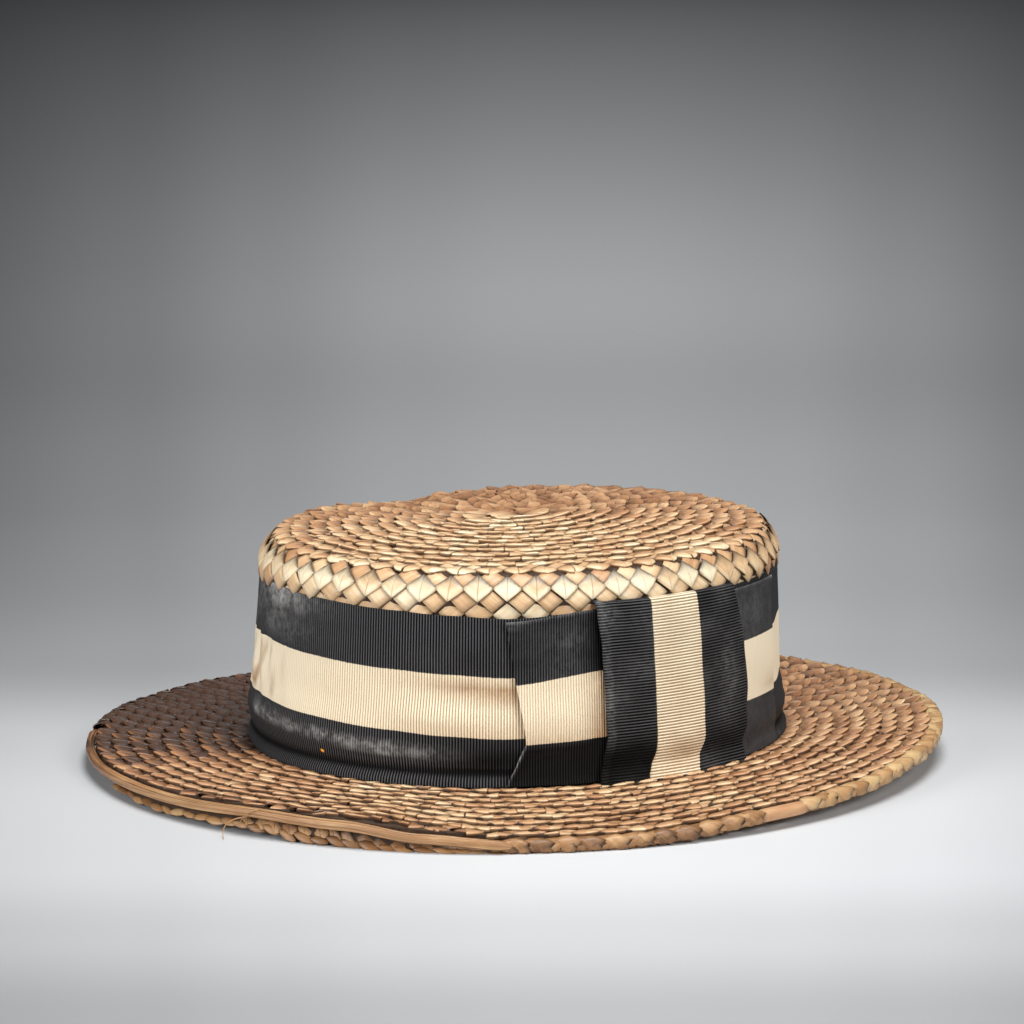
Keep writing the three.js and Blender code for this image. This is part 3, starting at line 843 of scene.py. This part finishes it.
def band_place(angle, across):
    """Height of the band at a share of its width, and how far its folds push it out."""
    degrees = np.mod(angle / DEGREE, 360)
    height = BAND_FOOT + RIBBON_WIDTH * across + along_table(BAND_SLUMP, degrees, 360) * ease(across / 0.3)
    swell = along_table(BAND_FOLDS, band_rise(degrees, height))
    swell = swell * (1 - 0.8 * ease((degrees - 318) / 6) * ease((400 - degrees) / 30))
    swell = swell * (1 - 0.6 * hill(degrees, 245, 15) * (1 - ease((height - BAND_FOOT - 3) / 3)))
    swell = swell + 2.5 * hill(degrees, 309, 13) * hill(across, 0.41, 0.085)
    swell = swell - 0.8 * hill(degrees, 313, 11) * hill(across, 0.6, 0.06)
    swell = swell + 0.4 * hill(degrees, 311, 8) * hill(across, 0.8, 0.06)
    arc = angle * ARC_RADIUS
    rumpled = hill(degrees, 250, 11) * hill(across, 0.5, 0.2)
    swell = swell + 0.9 * rumpled * (0.6 + ripple(arc, RIBBON_WIDTH * across, 13, 11))
    swell = swell + 0.16 * ripple(arc, RIBBON_WIDTH * across, 46, 12) * ease(across / 0.1)
    return height, np.maximum(swell, -0.2)


def ribbon_piece(name, points, along, across, values):
    """A ribbon from a grid of points whose rows run along its length and columns across its width."""
    rows, cols, _ = points.shape
    uv = np.stack([along, across * RIBBON_WIDTH], -1).reshape(-1, 2)
    return mesh_piece(name, points.reshape(-1, 3), grid_quads(rows, cols), uv, values)


wall_line = wall_point(np.linspace(0, 2 * np.pi, 1441), RIBBON_OUT, 40.0)
wall_arc = np.append(0, np.cumsum(np.linalg.norm(np.diff(wall_line, axis=0), axis=1)))
band_ribs = int(round(wall_arc[-1] / RIB_PITCH))
rib_step = wall_arc[-1] / band_ribs
rib_line = np.arange(band_ribs * 4 + 1) / 4
rib_angle = np.interp(rib_line * rib_step, wall_arc, np.linspace(0, 2 * np.pi, 1441))
width_line = np.array([0, 0.008, 0.03, 0.055, 0.08, 0.105, 0.13, 0.16, 0.19, 0.23, 0.28, 0.325, 0.38, 0.43,
                       0.48, 0.54, 0.6, 0.667, 0.76, 0.86, 0.94, 0.98, 0.993, 1.0])
hem_line = np.concatenate([[0.015, 0.0], width_line, [1.0, 0.985]])      # its two hems are turned in
hem_depth = np.concatenate([[-0.9, -0.6], 0 * width_line, [-0.6, -0.9]])
angle, across = np.meshgrid(rib_angle, hem_line, indexing="ij")
along = np.broadcast_to(rib_line[:, None], angle.shape)
height, swell = band_place(angle, across)
degrees = np.mod(angle / DEGREE, 360)
bold = along_table(RIB_BOLD, degrees, 360)
ribs = RIB_HEIGHT * 0.5 * bold * np.cos(2 * np.pi * along)
points = wall_point(angle, RIBBON_OUT + RIBBON_THICK / 2 + swell + ribs + hem_depth, height)
arc = angle * ARC_RADIUS
rise = band_rise(degrees, height)
patchy = ripple(arc, height, 17, 21)
# Painted highlight along the crest of the fold above the foot, mixed with real wear; the other marks below
# are real dust.
streak = hill(height, 24.3 - 0.087 * (degrees - 250.5), 1.7)
streak = streak * ease((degrees - 244) / 9) * ease((318 - degrees) / 20)
dust_and_highlight = streak * (1.0 + 0.5 * patchy) + 1.0 * hill(degrees, 261, 12) * hill(across, 0.97, 0.055)
cloudy = 0.8 + 0.6 * ripple(arc, height, 22, 22)
dust_and_highlight = dust_and_highlight + 0.35 * hill(degrees, 256, 15) * ease((across - 0.68) / 0.1) * cloudy
dust_and_highlight = dust_and_highlight + 0.5 * hill(degrees, 38.5, 0.45) * hill(height, 9.8, 0.6)
dust_and_highlight = dust_and_highlight + 0.3 * hill(degrees, 308, 5) * hill(across, 0.8, 0.03)
stain_and_shade = hill(degrees, 250, 9) * np.maximum(0.25 + 1.0 * ripple(arc * 1.5, height * 0.6, 12, 23), 0)
# Painted shade: brown along the top and bottom of the cream beside the bow, where the ribbon dips in its
# folds; the patches above at the far end are real stains.
stain_and_shade = stain_and_shade + 0.75 * ease((degrees - 292) / 24) * hill(across, 0.66, 0.07)
stain_and_shade = stain_and_shade + 1.2 * hill(degrees, 323, 11) * hill(across, 0.585, 0.05)
stain_and_shade = stain_and_shade + 1.4 * ease((degrees - 290) / 26) * hill(across, 0.325, 0.035)
# Painted shade on the black: dark in the valley above the foot, below the bulge by the tail, and along a
# crease near the top.
painted_black_shade = 0.95 * hill(rise, 4.9, 1.1) + 0.8 * hill(degrees, 321, 12) * hill(across, 0.2, 0.12)
painted_black_shade = painted_black_shade + 0.9 * hill(degrees, 314.5, 4) * hill(across, 0.775, 0.014)
# On the black stripes this channel carries the painted shade.
stain_and_shade = np.where((across > CREAM_FROM) & (across < CREAM_TO), stain_and_shade, painted_black_shade + 0.04)
band_values = {"dust_and_highlight": np.clip(dust_and_highlight, 0, 1), "stain_and_shade": np.clip(stain_and_shade, 0, 1), "bold": bold}
hat_band = ribbon_piece("hat_band_ribbon", points, along, across, band_values)
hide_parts("hat_band")


def ribbon_group():
    """Ribbed silk in three stripes: thread lines on each rib, with a painted highlight on the crests and
    painted shade between the ribs, and a painted sheen on the black. Dust and highlight greys the black:
    real dust and a painted highlight along folds. Stain and shade browns the cream and darkens the black:
    real stains and painted shade in folds and beside the knot. Bold is how clearly the ribs show. Weave
    is ribs along and millimetres across."""
    tree, make, given, result = new_group(
        "ribbed ribbon",
        {"Weave": VECTOR, "Place": VECTOR, "DustAndHighlight": VALUE, "StainAndShade": VALUE, "Bold": VALUE},
        {"Color": COLOUR, "Roughness": VALUE, "Height": VALUE},
    )
    add = maths(make)
    weave = make("ShaderNodeSeparateXYZ", {"Vector": given.outputs["Weave"]})
    rib, across = weave.outputs["X"], weave.outputs["Y"]
    crest = add("MULTIPLY_ADD", add("COSINE", add("MULTIPLY", rib, 2 * np.pi)), 0.5, 0.5)
    crest = add("MULTIPLY_ADD", add("SUBTRACT", crest, 0.66), given.outputs["Bold"], 0.66)
    thread = make("ShaderNodeMapping", {"Vector": given.outputs["Weave"], "Scale": (1.6, 3.2, 1.0)})
    threads = make("ShaderNodeTexNoise", {"Vector": thread.outputs["Vector"], "Scale": 1.0, "Detail": 2.0})
    uneven = make("ShaderNodeMapping", {"Vector": given.outputs["Weave"], "Scale": (1.0, 0.06, 1.0)})
    unevenness = make("ShaderNodeTexNoise", {"Vector": uneven.outputs["Vector"], "Scale": 0.9, "Detail": 1.0})
    place = given.outputs["Place"]
    cloud = make("ShaderNodeTexNoise", {"Vector": place, "Scale": 70.0, "Detail": 5.0, "Roughness": 0.65})
    border = add("MULTIPLY_ADD", add("SUBTRACT", unevenness.outputs["Fac"], 0.5), 0.35, across)
    low, high = (make("ShaderNodeMapRange", {
        "Value": border, "From Min": at * RIBBON_WIDTH - soft, "From Max": at * RIBBON_WIDTH + soft,
    }) for at, soft in ((CREAM_FROM, 0.12), (CREAM_TO, -0.12)))
    cream_mask = add("MULTIPLY", low.outputs["Result"], high.outputs["Result"])
    # Painted highlight on each rib's crest and painted shade in its grooves, broken by thread lines.
    lit = add("MULTIPLY_ADD", add("SUBTRACT", threads.outputs["Fac"], 0.5), 0.5, crest)
    cream = ramp(make, lit, (
        (0.0, (0.34, 0.21, 0.09)),
        (0.32, (0.80, 0.66, 0.44)),
        (1.0, (0.97, 0.90, 0.74)),
    ))
    # Stain and painted shade brown the cream, most in the grooves.
    stain_and_shade_mix = add("MULTIPLY", given.outputs["StainAndShade"], add("MULTIPLY_ADD", cloud.outputs["Fac"], 2.0, -0.3))
    stain_and_shade_mix = add("MULTIPLY", stain_and_shade_mix, add("MULTIPLY_ADD", lit, -0.7, 1.4))
    cream = blend(make, stain_and_shade_mix, cream, (0.36, 0.2, 0.085, 1))
    black = ramp(make, lit, (
        (0.0, (0.0005, 0.0005, 0.0005)),
        (0.5, (0.003, 0.003, 0.0035)),
        (1.0, (0.098, 0.098, 0.104)),
    ))
    speck = make("ShaderNodeTexNoise", {"Vector": place, "Scale": 420.0, "Detail": 3.0, "Roughness": 0.7})
    mottle = add("MULTIPLY_ADD", speck.outputs["Fac"], 0.5, add("MULTIPLY", cloud.outputs["Fac"], 0.5))
    faint = make("ShaderNodeMapRange", {"Value": mottle, "From Min": 0.42, "From Max": 0.62})
    # Dust, and a painted highlight along the folds, grey the black, more on the rib crests.
    grey_dust_and_highlight = add("MULTIPLY", given.outputs["DustAndHighlight"], add("ADD", faint.outputs["Result"], 0.12))
    grey_dust_and_highlight = add("MULTIPLY", grey_dust_and_highlight, add("MULTIPLY_ADD", crest, 0.5, 0.6))
    black = blend(make, grey_dust_and_highlight, black, (0.42, 0.415, 0.405, 1))
    # Painted shade, with a little stain, darkens the black.
    black = blend(make, add("MULTIPLY", given.outputs["StainAndShade"], 0.92), black, (0.001, 0.001, 0.001, 1))
    # A painted sheen on the black's rib crests, dulled where the black is darkened.
    sheen = add("MAXIMUM", add("MULTIPLY_ADD", given.outputs["StainAndShade"], -0.015, 0.0112), 0.0)
    black = blend(make, 1.0, black, add("MULTIPLY", sheen, add("MULTIPLY", crest, 1.5)), "ADD")
    tree.links.new(blend(make, cream_mask, black, cream), result.inputs["Color"])
    rough = make("ShaderNodeMapRange", {"Value": threads.outputs["Fac"], "To Min": 0.5, "To Max": 0.75})
    tree.links.new(rough.outputs["Result"], result.inputs["Roughness"])
    tree.links.new(lit, result.inputs["Height"])
    return tree


def ribbon_material(name, relief):
    """Ribbed silk finish that reads the weave uv, the dust and painted highlight, and the stain and painted
    shade of a ribbon.
    """
    material = bpy.data.materials.new(name)
    material.use_nodes = True
    tree = material.node_tree
    make = node_maker(tree)
    shader = tree.nodes["Principled BSDF"]
    read = lambda key: make("ShaderNodeAttribute", attribute_name=key).outputs["Fac"]
    silk = make("ShaderNodeGroup", node_tree=RIBBON_GROUP)
    sockets = {
        "Weave": make("ShaderNodeUVMap", uv_map="strand").outputs["UV"],
        "Place": make("ShaderNodeTexCoord").outputs["Object"],
        "DustAndHighlight": read("dust_and_highlight"), "StainAndShade": read("stain_and_shade"), "Bold": read("bold"),
    }
    for key, socket in sockets.items():
        tree.links.new(socket, silk.inputs[key])
    tree.links.new(silk.outputs["Color"], shader.inputs["Base Color"])
    tree.links.new(silk.outputs["Roughness"], shader.inputs["Roughness"])
    bump = make("ShaderNodeBump", {"Height": silk.outputs["Height"], "Strength": relief, "Distance": 0.0003})
    tree.links.new(bump.outputs["Normal"], shader.inputs["Normal"])
    shader.inputs["Specular IOR Level"].default_value = 0.08
    return material


RIBBON_GROUP = ribbon_group()
ribbed_silk = ribbon_material("ribbed silk", 0.5)
dress(hat_band, ribbed_silk)

FLECK_AT = (280.4, 16.9)               # degrees and height of a fleck of amber resin stuck to the ribbon
away = (degrees - FLECK_AT[0]) ** 2 + (height - FLECK_AT[1]) ** 2
seat = points[np.unravel_index(np.argmin(away), away.shape)]
lat, lon = np.meshgrid(np.linspace(-np.pi / 2, np.pi / 2, 7), np.linspace(0, 2 * np.pi, 11)[:-1],
                       indexing="ij")
facing = FLECK_AT[0] * DEGREE
reach = np.stack([0.95 * np.cos(lat) * np.cos(lon), 0.45 * np.sin(lat), 0.6 * np.cos(lat) * np.sin(lon)], -1)
axes = np.array([[-np.sin(facing), np.cos(facing), -0.3], [np.cos(facing), np.sin(facing), 0], [0, 0, 1]])
fleck = mesh_piece("amber_fleck", (seat + reach @ axes).reshape(-1, 3),
                   grid_quads(*lat.shape, True)[:, ::-1], np.zeros((lat.size, 2)), {})
amber = bpy.data.materials.new("amber resin")
amber.use_nodes = True
amber.node_tree.nodes["Principled BSDF"].inputs["Base Color"].default_value = (0.9, 0.32, 0.02, 1)
amber.node_tree.nodes["Principled BSDF"].inputs["Roughness"].default_value = 0.3
dress(fleck, amber)

# Bow tails
# Two flat ends of the same ribbon that lie along the band on both sides of the knot. The front one ends
# in a swallow-tail cut and has sagged; the back one lies smooth.

TAIL_OUT = 2.1                         # their middle, outwards from the crown wall
TAIL_RIB = 0.94
TAIL_TUCK = 22.5                       # where the tails start, under the knot
TAIL_FRONT_REACH, TAIL_BACK_REACH = 64.0, 59.0
NOTCH_DEPTH, NOTCH_HEIGHT = 7.0, 0.333
TAIL_LEVELS = (                        # share of the width, height by the knot, height at the front free end
    (0, 8.7, 8.7), (0.325, 24.4, 23.3), (0.667, 47.6, 43.9), (1, 69.3, 66.0),
)
TAIL_BACK_LEVELS = ((0, 8.7, 8.7), (0.325, 27.9, 27.7), (0.667, 49.7, 50.0), (1, 69.3, 69.4))


def tail_ribbon(name, side, reach, levels, notch, rows=330):
    """A bow tail: arc from under the knot to a free end cut with a notch, heights between two tables,
    lifted over the band, its end and hems curling a little."""
    share, across = np.meshgrid(np.linspace(0, 1, rows), width_line, indexing="ij")
    slant = np.where(across < NOTCH_HEIGHT, across / NOTCH_HEIGHT, (1 - across) / (1 - NOTCH_HEIGHT))
    arc = TAIL_TUCK + share * (reach - notch * slant - TAIL_TUCK)
    angle = side * arc / ARC_RADIUS
    shares, near, far = np.array(levels).T
    end = ease((arc - 30) / (reach - 30))
    height = np.interp(across, shares, near) * (1 - end) + np.interp(across, shares, far) * end
    free = ease((share - 0.75) / 0.25)
    if notch:
        swell = 0.3 + 1.9 * hill(across, 0.43, 0.16) * ease((arc - 29) / 12)
        swell = swell + 0.45 * hill(arc, 42, 8) * hill(across, 0.8, 0.12) - 0.5 * hill(arc, 31, 6)
        swell = swell + 0.45 * free + 0.9 * hill(share, 1, 0.06) * hill(across, 0.14, 0.12)
        swell = swell + 0.5 * hill(across, 0, 0.03) + 0.15 * ripple(arc, height, 22, 31)
    else:
        swell = 0.35 * along_table(BAND_FOLDS, height - BAND_FOOT) + 0.5 + 0.12 * ripple(arc, height, 30, 32)
    swell = swell + 0.45 * hill(across, 0.985, 0.02)
    along = arc / TAIL_RIB
    ribs = RIB_HEIGHT * (0.4 if notch else 0.12) * np.cos(2 * np.pi * along)
    points = wall_point(angle, TAIL_OUT + RIBBON_THICK / 2 + swell + ribs, height)
    cloudy = 1 + ripple(arc, height, 18, 33)
    dust_and_highlight = 0.22 * hill(arc, 42, 8) * hill(across, 0.82, 0.1) + 0.5 * hill(across, 1, 0.012) + 0.02 * cloudy
    # Painted highlight along the curled edge of the notch's lower lobe.
    dust_and_highlight = dust_and_highlight + 0.9 * hill(share, 1, 0.008) * hill(across, 0.2, 0.1)
    dust_and_highlight = dust_and_highlight + 0.8 * hill(share, 1, 0.1) * hill(across, 1, 0.02)
    # Painted shade: brown beside the knot, where the knot shades the tail, and near black over the lower
    # black stripe, which faces down.
    stain_and_shade = 0.14 + 1.0 * hill(arc, 28, 6.5) + 0.35 * hill(across, 0.34, 0.02)
    stain_and_shade = stain_and_shade + 0.25 * (across > CREAM_TO)
    stain_and_shade = np.where(across < CREAM_FROM, 0.9 * (1 - hill(share, 1, 0.02)), stain_and_shade)
    if not notch:
        dust_and_highlight, stain_and_shade = 0.4 * dust_and_highlight + 0.06, 0.5 * hill(arc, 55, 7) * hill(across, 0.38, 0.05)
    bold = (0.8 if notch else 0.22) + 0 * arc
    values = {"dust_and_highlight": np.clip(dust_and_highlight, 0, 1), "stain_and_shade": np.clip(stain_and_shade, 0, 1), "bold": bold}
    order = slice(None, None, side)    # keeps the faces outwards on both sides
    values = {key: value[order] for key, value in values.items()}
    return cloth_thickness(ribbon_piece(name, points[order], along[order], across[order], values))


def cloth_thickness(piece):
    """Gives a free end of ribbon its thickness, inwards from the face."""
    cloth = piece.modifiers.new("cloth thickness", "SOLIDIFY")
    cloth.thickness = RIBBON_THICK * MM
    cloth.offset = -1
    return piece


tail_front = tail_ribbon("bow_tail_front_ribbon", -1, TAIL_FRONT_REACH, TAIL_LEVELS, NOTCH_DEPTH)
tail_back = tail_ribbon("bow_tail_back_ribbon", 1, TAIL_BACK_REACH, TAIL_BACK_LEVELS, 0)
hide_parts("bow_tail_front")
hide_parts("bow_tail_back")
for tail, length in ((tail_front, 0.042), (tail_back, 0.037)):
    dress(tail, ribbed_silk)

# Bow knot
# A length of the same ribbon wrapped upright over the middle of the bow, so its ribs lie level. One edge
# is rolled, its foot flares over the band's lip, and its top turns in behind.

KNOT_RIB = 1.03
KNOT_FOLDS = (                         # height, distance out from the crown wall
    (8.6, 6.2), (11, 5.2), (14, 4.0), (20, 4.8), (30, 4.2), (66, 3.7), (70.3, 3.4), (71.4, 1.9), (71.5, 0.9),
)
KNOT_RIGHT = (                         # height, reach of the back edge
    (8, 28.5), (14, 29.5), (22, 32.0), (34, 33.8), (50, 32.3), (72, 28.0),
)
KNOT_LEFT = (                          # height, reach of the front edge
    (8, 32.6), (15.7, 31.1), (26, 29.4), (40, 29.9), (54, 30.7), (68.5, 32.2), (72, 32.8),
)
KNOT_SKEW = 3.2                        # how far its foot is drawn to the front
KNOT_CREAM = (-0.366, 0.287)           # the cream stripe's borders, as shares of the reach

upright = np.linspace(8.6, 70.3, 200)
fine_z = np.append(upright, [70.9, 71.25, 71.4, 71.5, 71.5])
fine_out = np.append(along_table(KNOT_FOLDS, upright), [3.1, 2.6, 2.0, 1.3, 0.9])
fold_length = np.append(0, np.cumsum(np.hypot(np.diff(fine_z), np.diff(fine_out))))
knot_ribs = int(round(fold_length[-1] / KNOT_RIB))
rib_line = np.arange(knot_ribs * 4 + 1) / 4
path = rib_line / knot_ribs * fold_length[-1]
face_line = np.linspace(-0.975, 0.985, 44)
side_line = np.concatenate([[-0.93, -0.97, -1.0, -1.01, -1.0], face_line, [1.0]])
curl_line = np.interp(face_line, [-0.975, -0.93, -0.88], [0.85, 0.6, 0])
curl_line = np.concatenate([[-1.0, -0.7, -0.1, 0.45, 0.8], curl_line, [0]])
up, across = np.meshgrid(path, side_line, indexing="ij")
curl = np.broadcast_to(curl_line, up.shape)
along = np.broadcast_to(rib_line[:, None], up.shape)
height = np.interp(up, fold_length, fine_z)
out = np.interp(up, fold_length, fine_out)
arc = across * np.where(across < 0, along_table(KNOT_LEFT, height), along_table(KNOT_RIGHT, height))
arc = arc - KNOT_SKEW * (1 - ease((height - 8) / 11)) * np.interp(across, [-1, -0.4, 0.4, 1], [0, 1, 1, 0.1])
foot = 1 - ease((height - 8) / 16)
out = out + curl + 0.5 * foot * np.sin(arc / 4.6 + 0.12 * height) * ease((across + 0.2) / 0.5)
out = out + 0.16 * ripple(arc, height, 28, 41) * ease((height - 8.6) / 6)
out = out + 0.5 * hill(across, -0.9, 0.05) * hill(height, 69, 3)
out = out - 0.6 * hill(across, -0.82, 0.05) * hill(height, 66, 4)
ribs = 1.15 * RIB_HEIGHT * 0.5 * np.cos(2 * np.pi * along)
points = wall_point(arc / ARC_RADIUS, out + ribs, height)
dust_and_highlight = 0.06 * (1 + ripple(arc, height, 20, 42)) + 0.35 * hill(across, 0.68, 0.16) * hill(height, 40, 12)
dust_and_highlight = dust_and_highlight + 0.4 * hill(across, -0.85, 0.1) * hill(height, 67, 4) + 0.25 * hill(across, -0.95, 0.04)
stain_and_shade = 0.3 * hill(height, 18, 7) + 0.2 + 0.12 * (across > KNOT_CREAM[1]) + 0.1 * ripple(arc, height, 16, 43)
# Painted shade: the lower part of the knot's left black stripe is made near black.
stain_and_shade = stain_and_shade + 0.7 * (across < -0.36) * ease((across + 1.1) / 0.1) * (1 - ease((height - 15) / 14))
values = {"dust_and_highlight": np.clip(dust_and_highlight, 0, 1), "stain_and_shade": np.clip(stain_and_shade, 0, 1), "bold": 1 + 0 * dust_and_highlight}
width_share = np.interp(across, [-1.01, *KNOT_CREAM, 1.0], [0, CREAM_FROM, CREAM_TO, 1])
swap = lambda grid: np.swapaxes(grid, 0, 1)
bow_knot = cloth_thickness(ribbon_piece("bow_knot_ribbon", swap(points), swap(along), swap(width_share),
                                        {key: swap(value) for key, value in values.items()}))
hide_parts("bow_knot")
bold_silk = ribbon_material("bold ribbed silk", 0.8)
dress(bow_knot, bold_silk)

# Stage
# The hat stands on plain pale studio paper, with a pool of light painted into its grey that darkens away
# from the hat; the paper runs out of the picture. Soft boxes light it from above and from both sides in
# front, and a strip lights the paper behind.

floor_mesh = bpy.data.meshes.new("floor")
floor_mesh.from_pydata([(-40, -40, 0), (40, -40, 0), (40, 40, 0), (-40, 40, 0)], [], [(0, 1, 2, 3)])
floor = bpy.data.objects.new("floor", floor_mesh)
bpy.context.scene.collection.objects.link(floor)

CAMERA_AZIMUTH = 52.27 * DEGREE
CAMERA_HEIGHT = 13.264 * DEGREE
CAMERA_DISTANCE = 1.3992
FOCAL_PIXELS = 3766.2
IMAGE = 1024
ORIGIN_PIXEL = (517.34, 746.62)        # where the hat's origin falls in the picture
SENSOR = 36.0

flat = np.cos(CAMERA_HEIGHT)
outward = Vector((np.sin(CAMERA_AZIMUTH) * flat, -np.cos(CAMERA_AZIMUTH) * flat, np.sin(CAMERA_HEIGHT)))
right = outward.cross(Vector((0, 0, -1))).normalized()
pitch = np.arctan((ORIGIN_PIXEL[1] - IMAGE / 2) / FOCAL_PIXELS)
yaw = np.arctan((ORIGIN_PIXEL[0] - IMAGE / 2) / FOCAL_PIXELS)
aim = Matrix.Rotation(yaw, 3, Vector((0, 0, 1))) @ (Matrix.Rotation(pitch, 3, right) @ -outward)
camera_data = bpy.data.cameras.new("camera")
camera_data.sensor_width = SENSOR
camera_data.lens = SENSOR * FOCAL_PIXELS / IMAGE
camera = bpy.data.objects.new("camera", camera_data)
camera.location = outward * CAMERA_DISTANCE
camera.rotation_euler = aim.to_track_quat("-Z", "Y").to_euler()
bpy.context.scene.collection.objects.link(camera)
bpy.context.scene.camera = camera

towards = Vector((outward.x, outward.y, 0)).normalized()
sideways = Vector((right.x, right.y, 0)).normalized()

paper = bpy.data.materials.new("studio paper with a painted pool of light")
paper.use_nodes = True
make = node_maker(paper.node_tree)
place = make("ShaderNodeTexCoord").outputs["Object"]


def graded(value, stops):
    """Grey that changes with a value, through (value, grey) stops."""
    first, last = stops[0][0], stops[-1][0]
    share = make("ShaderNodeMapRange", {"Value": value, "From Min": first, "From Max": last})
    marks = [((at - first) / (last - first), (level, level, level)) for at, level in stops]
    grey = ramp(make, share.outputs["Result"], marks)
    grey.node.color_ramp.interpolation = "EASE"
    return grey


# Both tables below paint a pool of light into the paper's grey, brightest round the hat.
DEPTH_GREY = (                         # metres towards the camera, grey
    (-1.8, 0.37), (-1.1, 0.42), (-0.74, 0.455), (-0.5, 0.43), (-0.3, 0.39), (-0.15, 0.43), (-0.02, 0.62),
    (0.08, 0.66), (0.17, 0.64), (0.25, 0.51), (0.33, 0.37), (0.45, 0.3),
)
SIDE_GREY = (                          # metres aside for each metre from the camera, grey
    (-0.15, 0.46), (-0.103, 0.61), (-0.068, 0.77), (-0.03, 0.93), (0, 1), (0.03, 1), (0.07, 0.94),
    (0.102, 0.82), (0.15, 0.56),
)
# Painted pool of light: the grey falls off away from the hat and to both sides.
add = maths(make)
ahead, aside = (
    make("ShaderNodeVectorMath", {0: place, 1: way}, operation="DOT_PRODUCT").outputs["Value"]
    for way in (towards, sideways)
)
spread = add("DIVIDE", aside, add("MAXIMUM", add("SUBTRACT", 1.38, ahead), 0.5))
beside = make("ShaderNodeMapRange", {
    "Value": ahead, "From Min": -0.5, "From Max": 0.05, "To Min": 1.0, "To Max": 0.45,
})
side_grey = blend(make, beside.outputs["Result"], (1, 1, 1, 1), graded(spread, SIDE_GREY))
grey = blend(make, 1.0, graded(ahead, DEPTH_GREY), side_grey, "MULTIPLY")
cool_grey = blend(make, 1.0, grey, (0.98, 1.0, 1.02, 1), "MULTIPLY")
surface = paper.node_tree.nodes["Principled BSDF"]
paper.node_tree.links.new(cool_grey, surface.inputs["Base Color"])
surface.inputs["Roughness"].default_value = 0.7
floor_mesh.materials.append(paper)


def soft_box(name, place, size, power, target=(0, 0, 0.04)):
    """A round area light at sideways, towards and up distances from the hat, turned to face it."""
    light = bpy.data.lights.new(name, "AREA")
    light.shape = "DISK"
    light.size = size
    light.energy = power
    lamp = bpy.data.objects.new(name, light)
    lamp.location = sideways * place[0] + towards * place[1] + Vector((0, 0, place[2]))
    lamp.rotation_euler = (Vector(target) - lamp.location).to_track_quat("-Z", "Y").to_euler()
    bpy.context.scene.collection.objects.link(lamp)
    return lamp


soft_box("overhead", (0.15, 0.2, 1.25), 0.75, 16)
soft_box("front right", (0.85, 1.15, 0.75), 0.6, 11)
soft_box("front left", (-1.15, 1.0, 0.55), 0.8, 15)
strip_target = sideways * 0.05 - towards * 5.36 + Vector((0, 0, 0.94))
backdrop = soft_box("backdrop", (0.05, -5.0, 1.94), 0.3, 30, strip_target)
backdrop.data.shape = "RECTANGLE"      # a strip that rises away from the hat, so its light dies away
backdrop.data.size_y = 8.0

world = bpy.data.worlds.new("studio")
bpy.context.scene.world = world
world.use_nodes = True
world.node_tree.nodes["Background"].inputs["Color"].default_value = (0.9, 0.95, 1.0, 1)
world.node_tree.nodes["Background"].inputs["Strength"].default_value = 0.09
bpy.context.scene.view_settings.view_transform = "Standard"
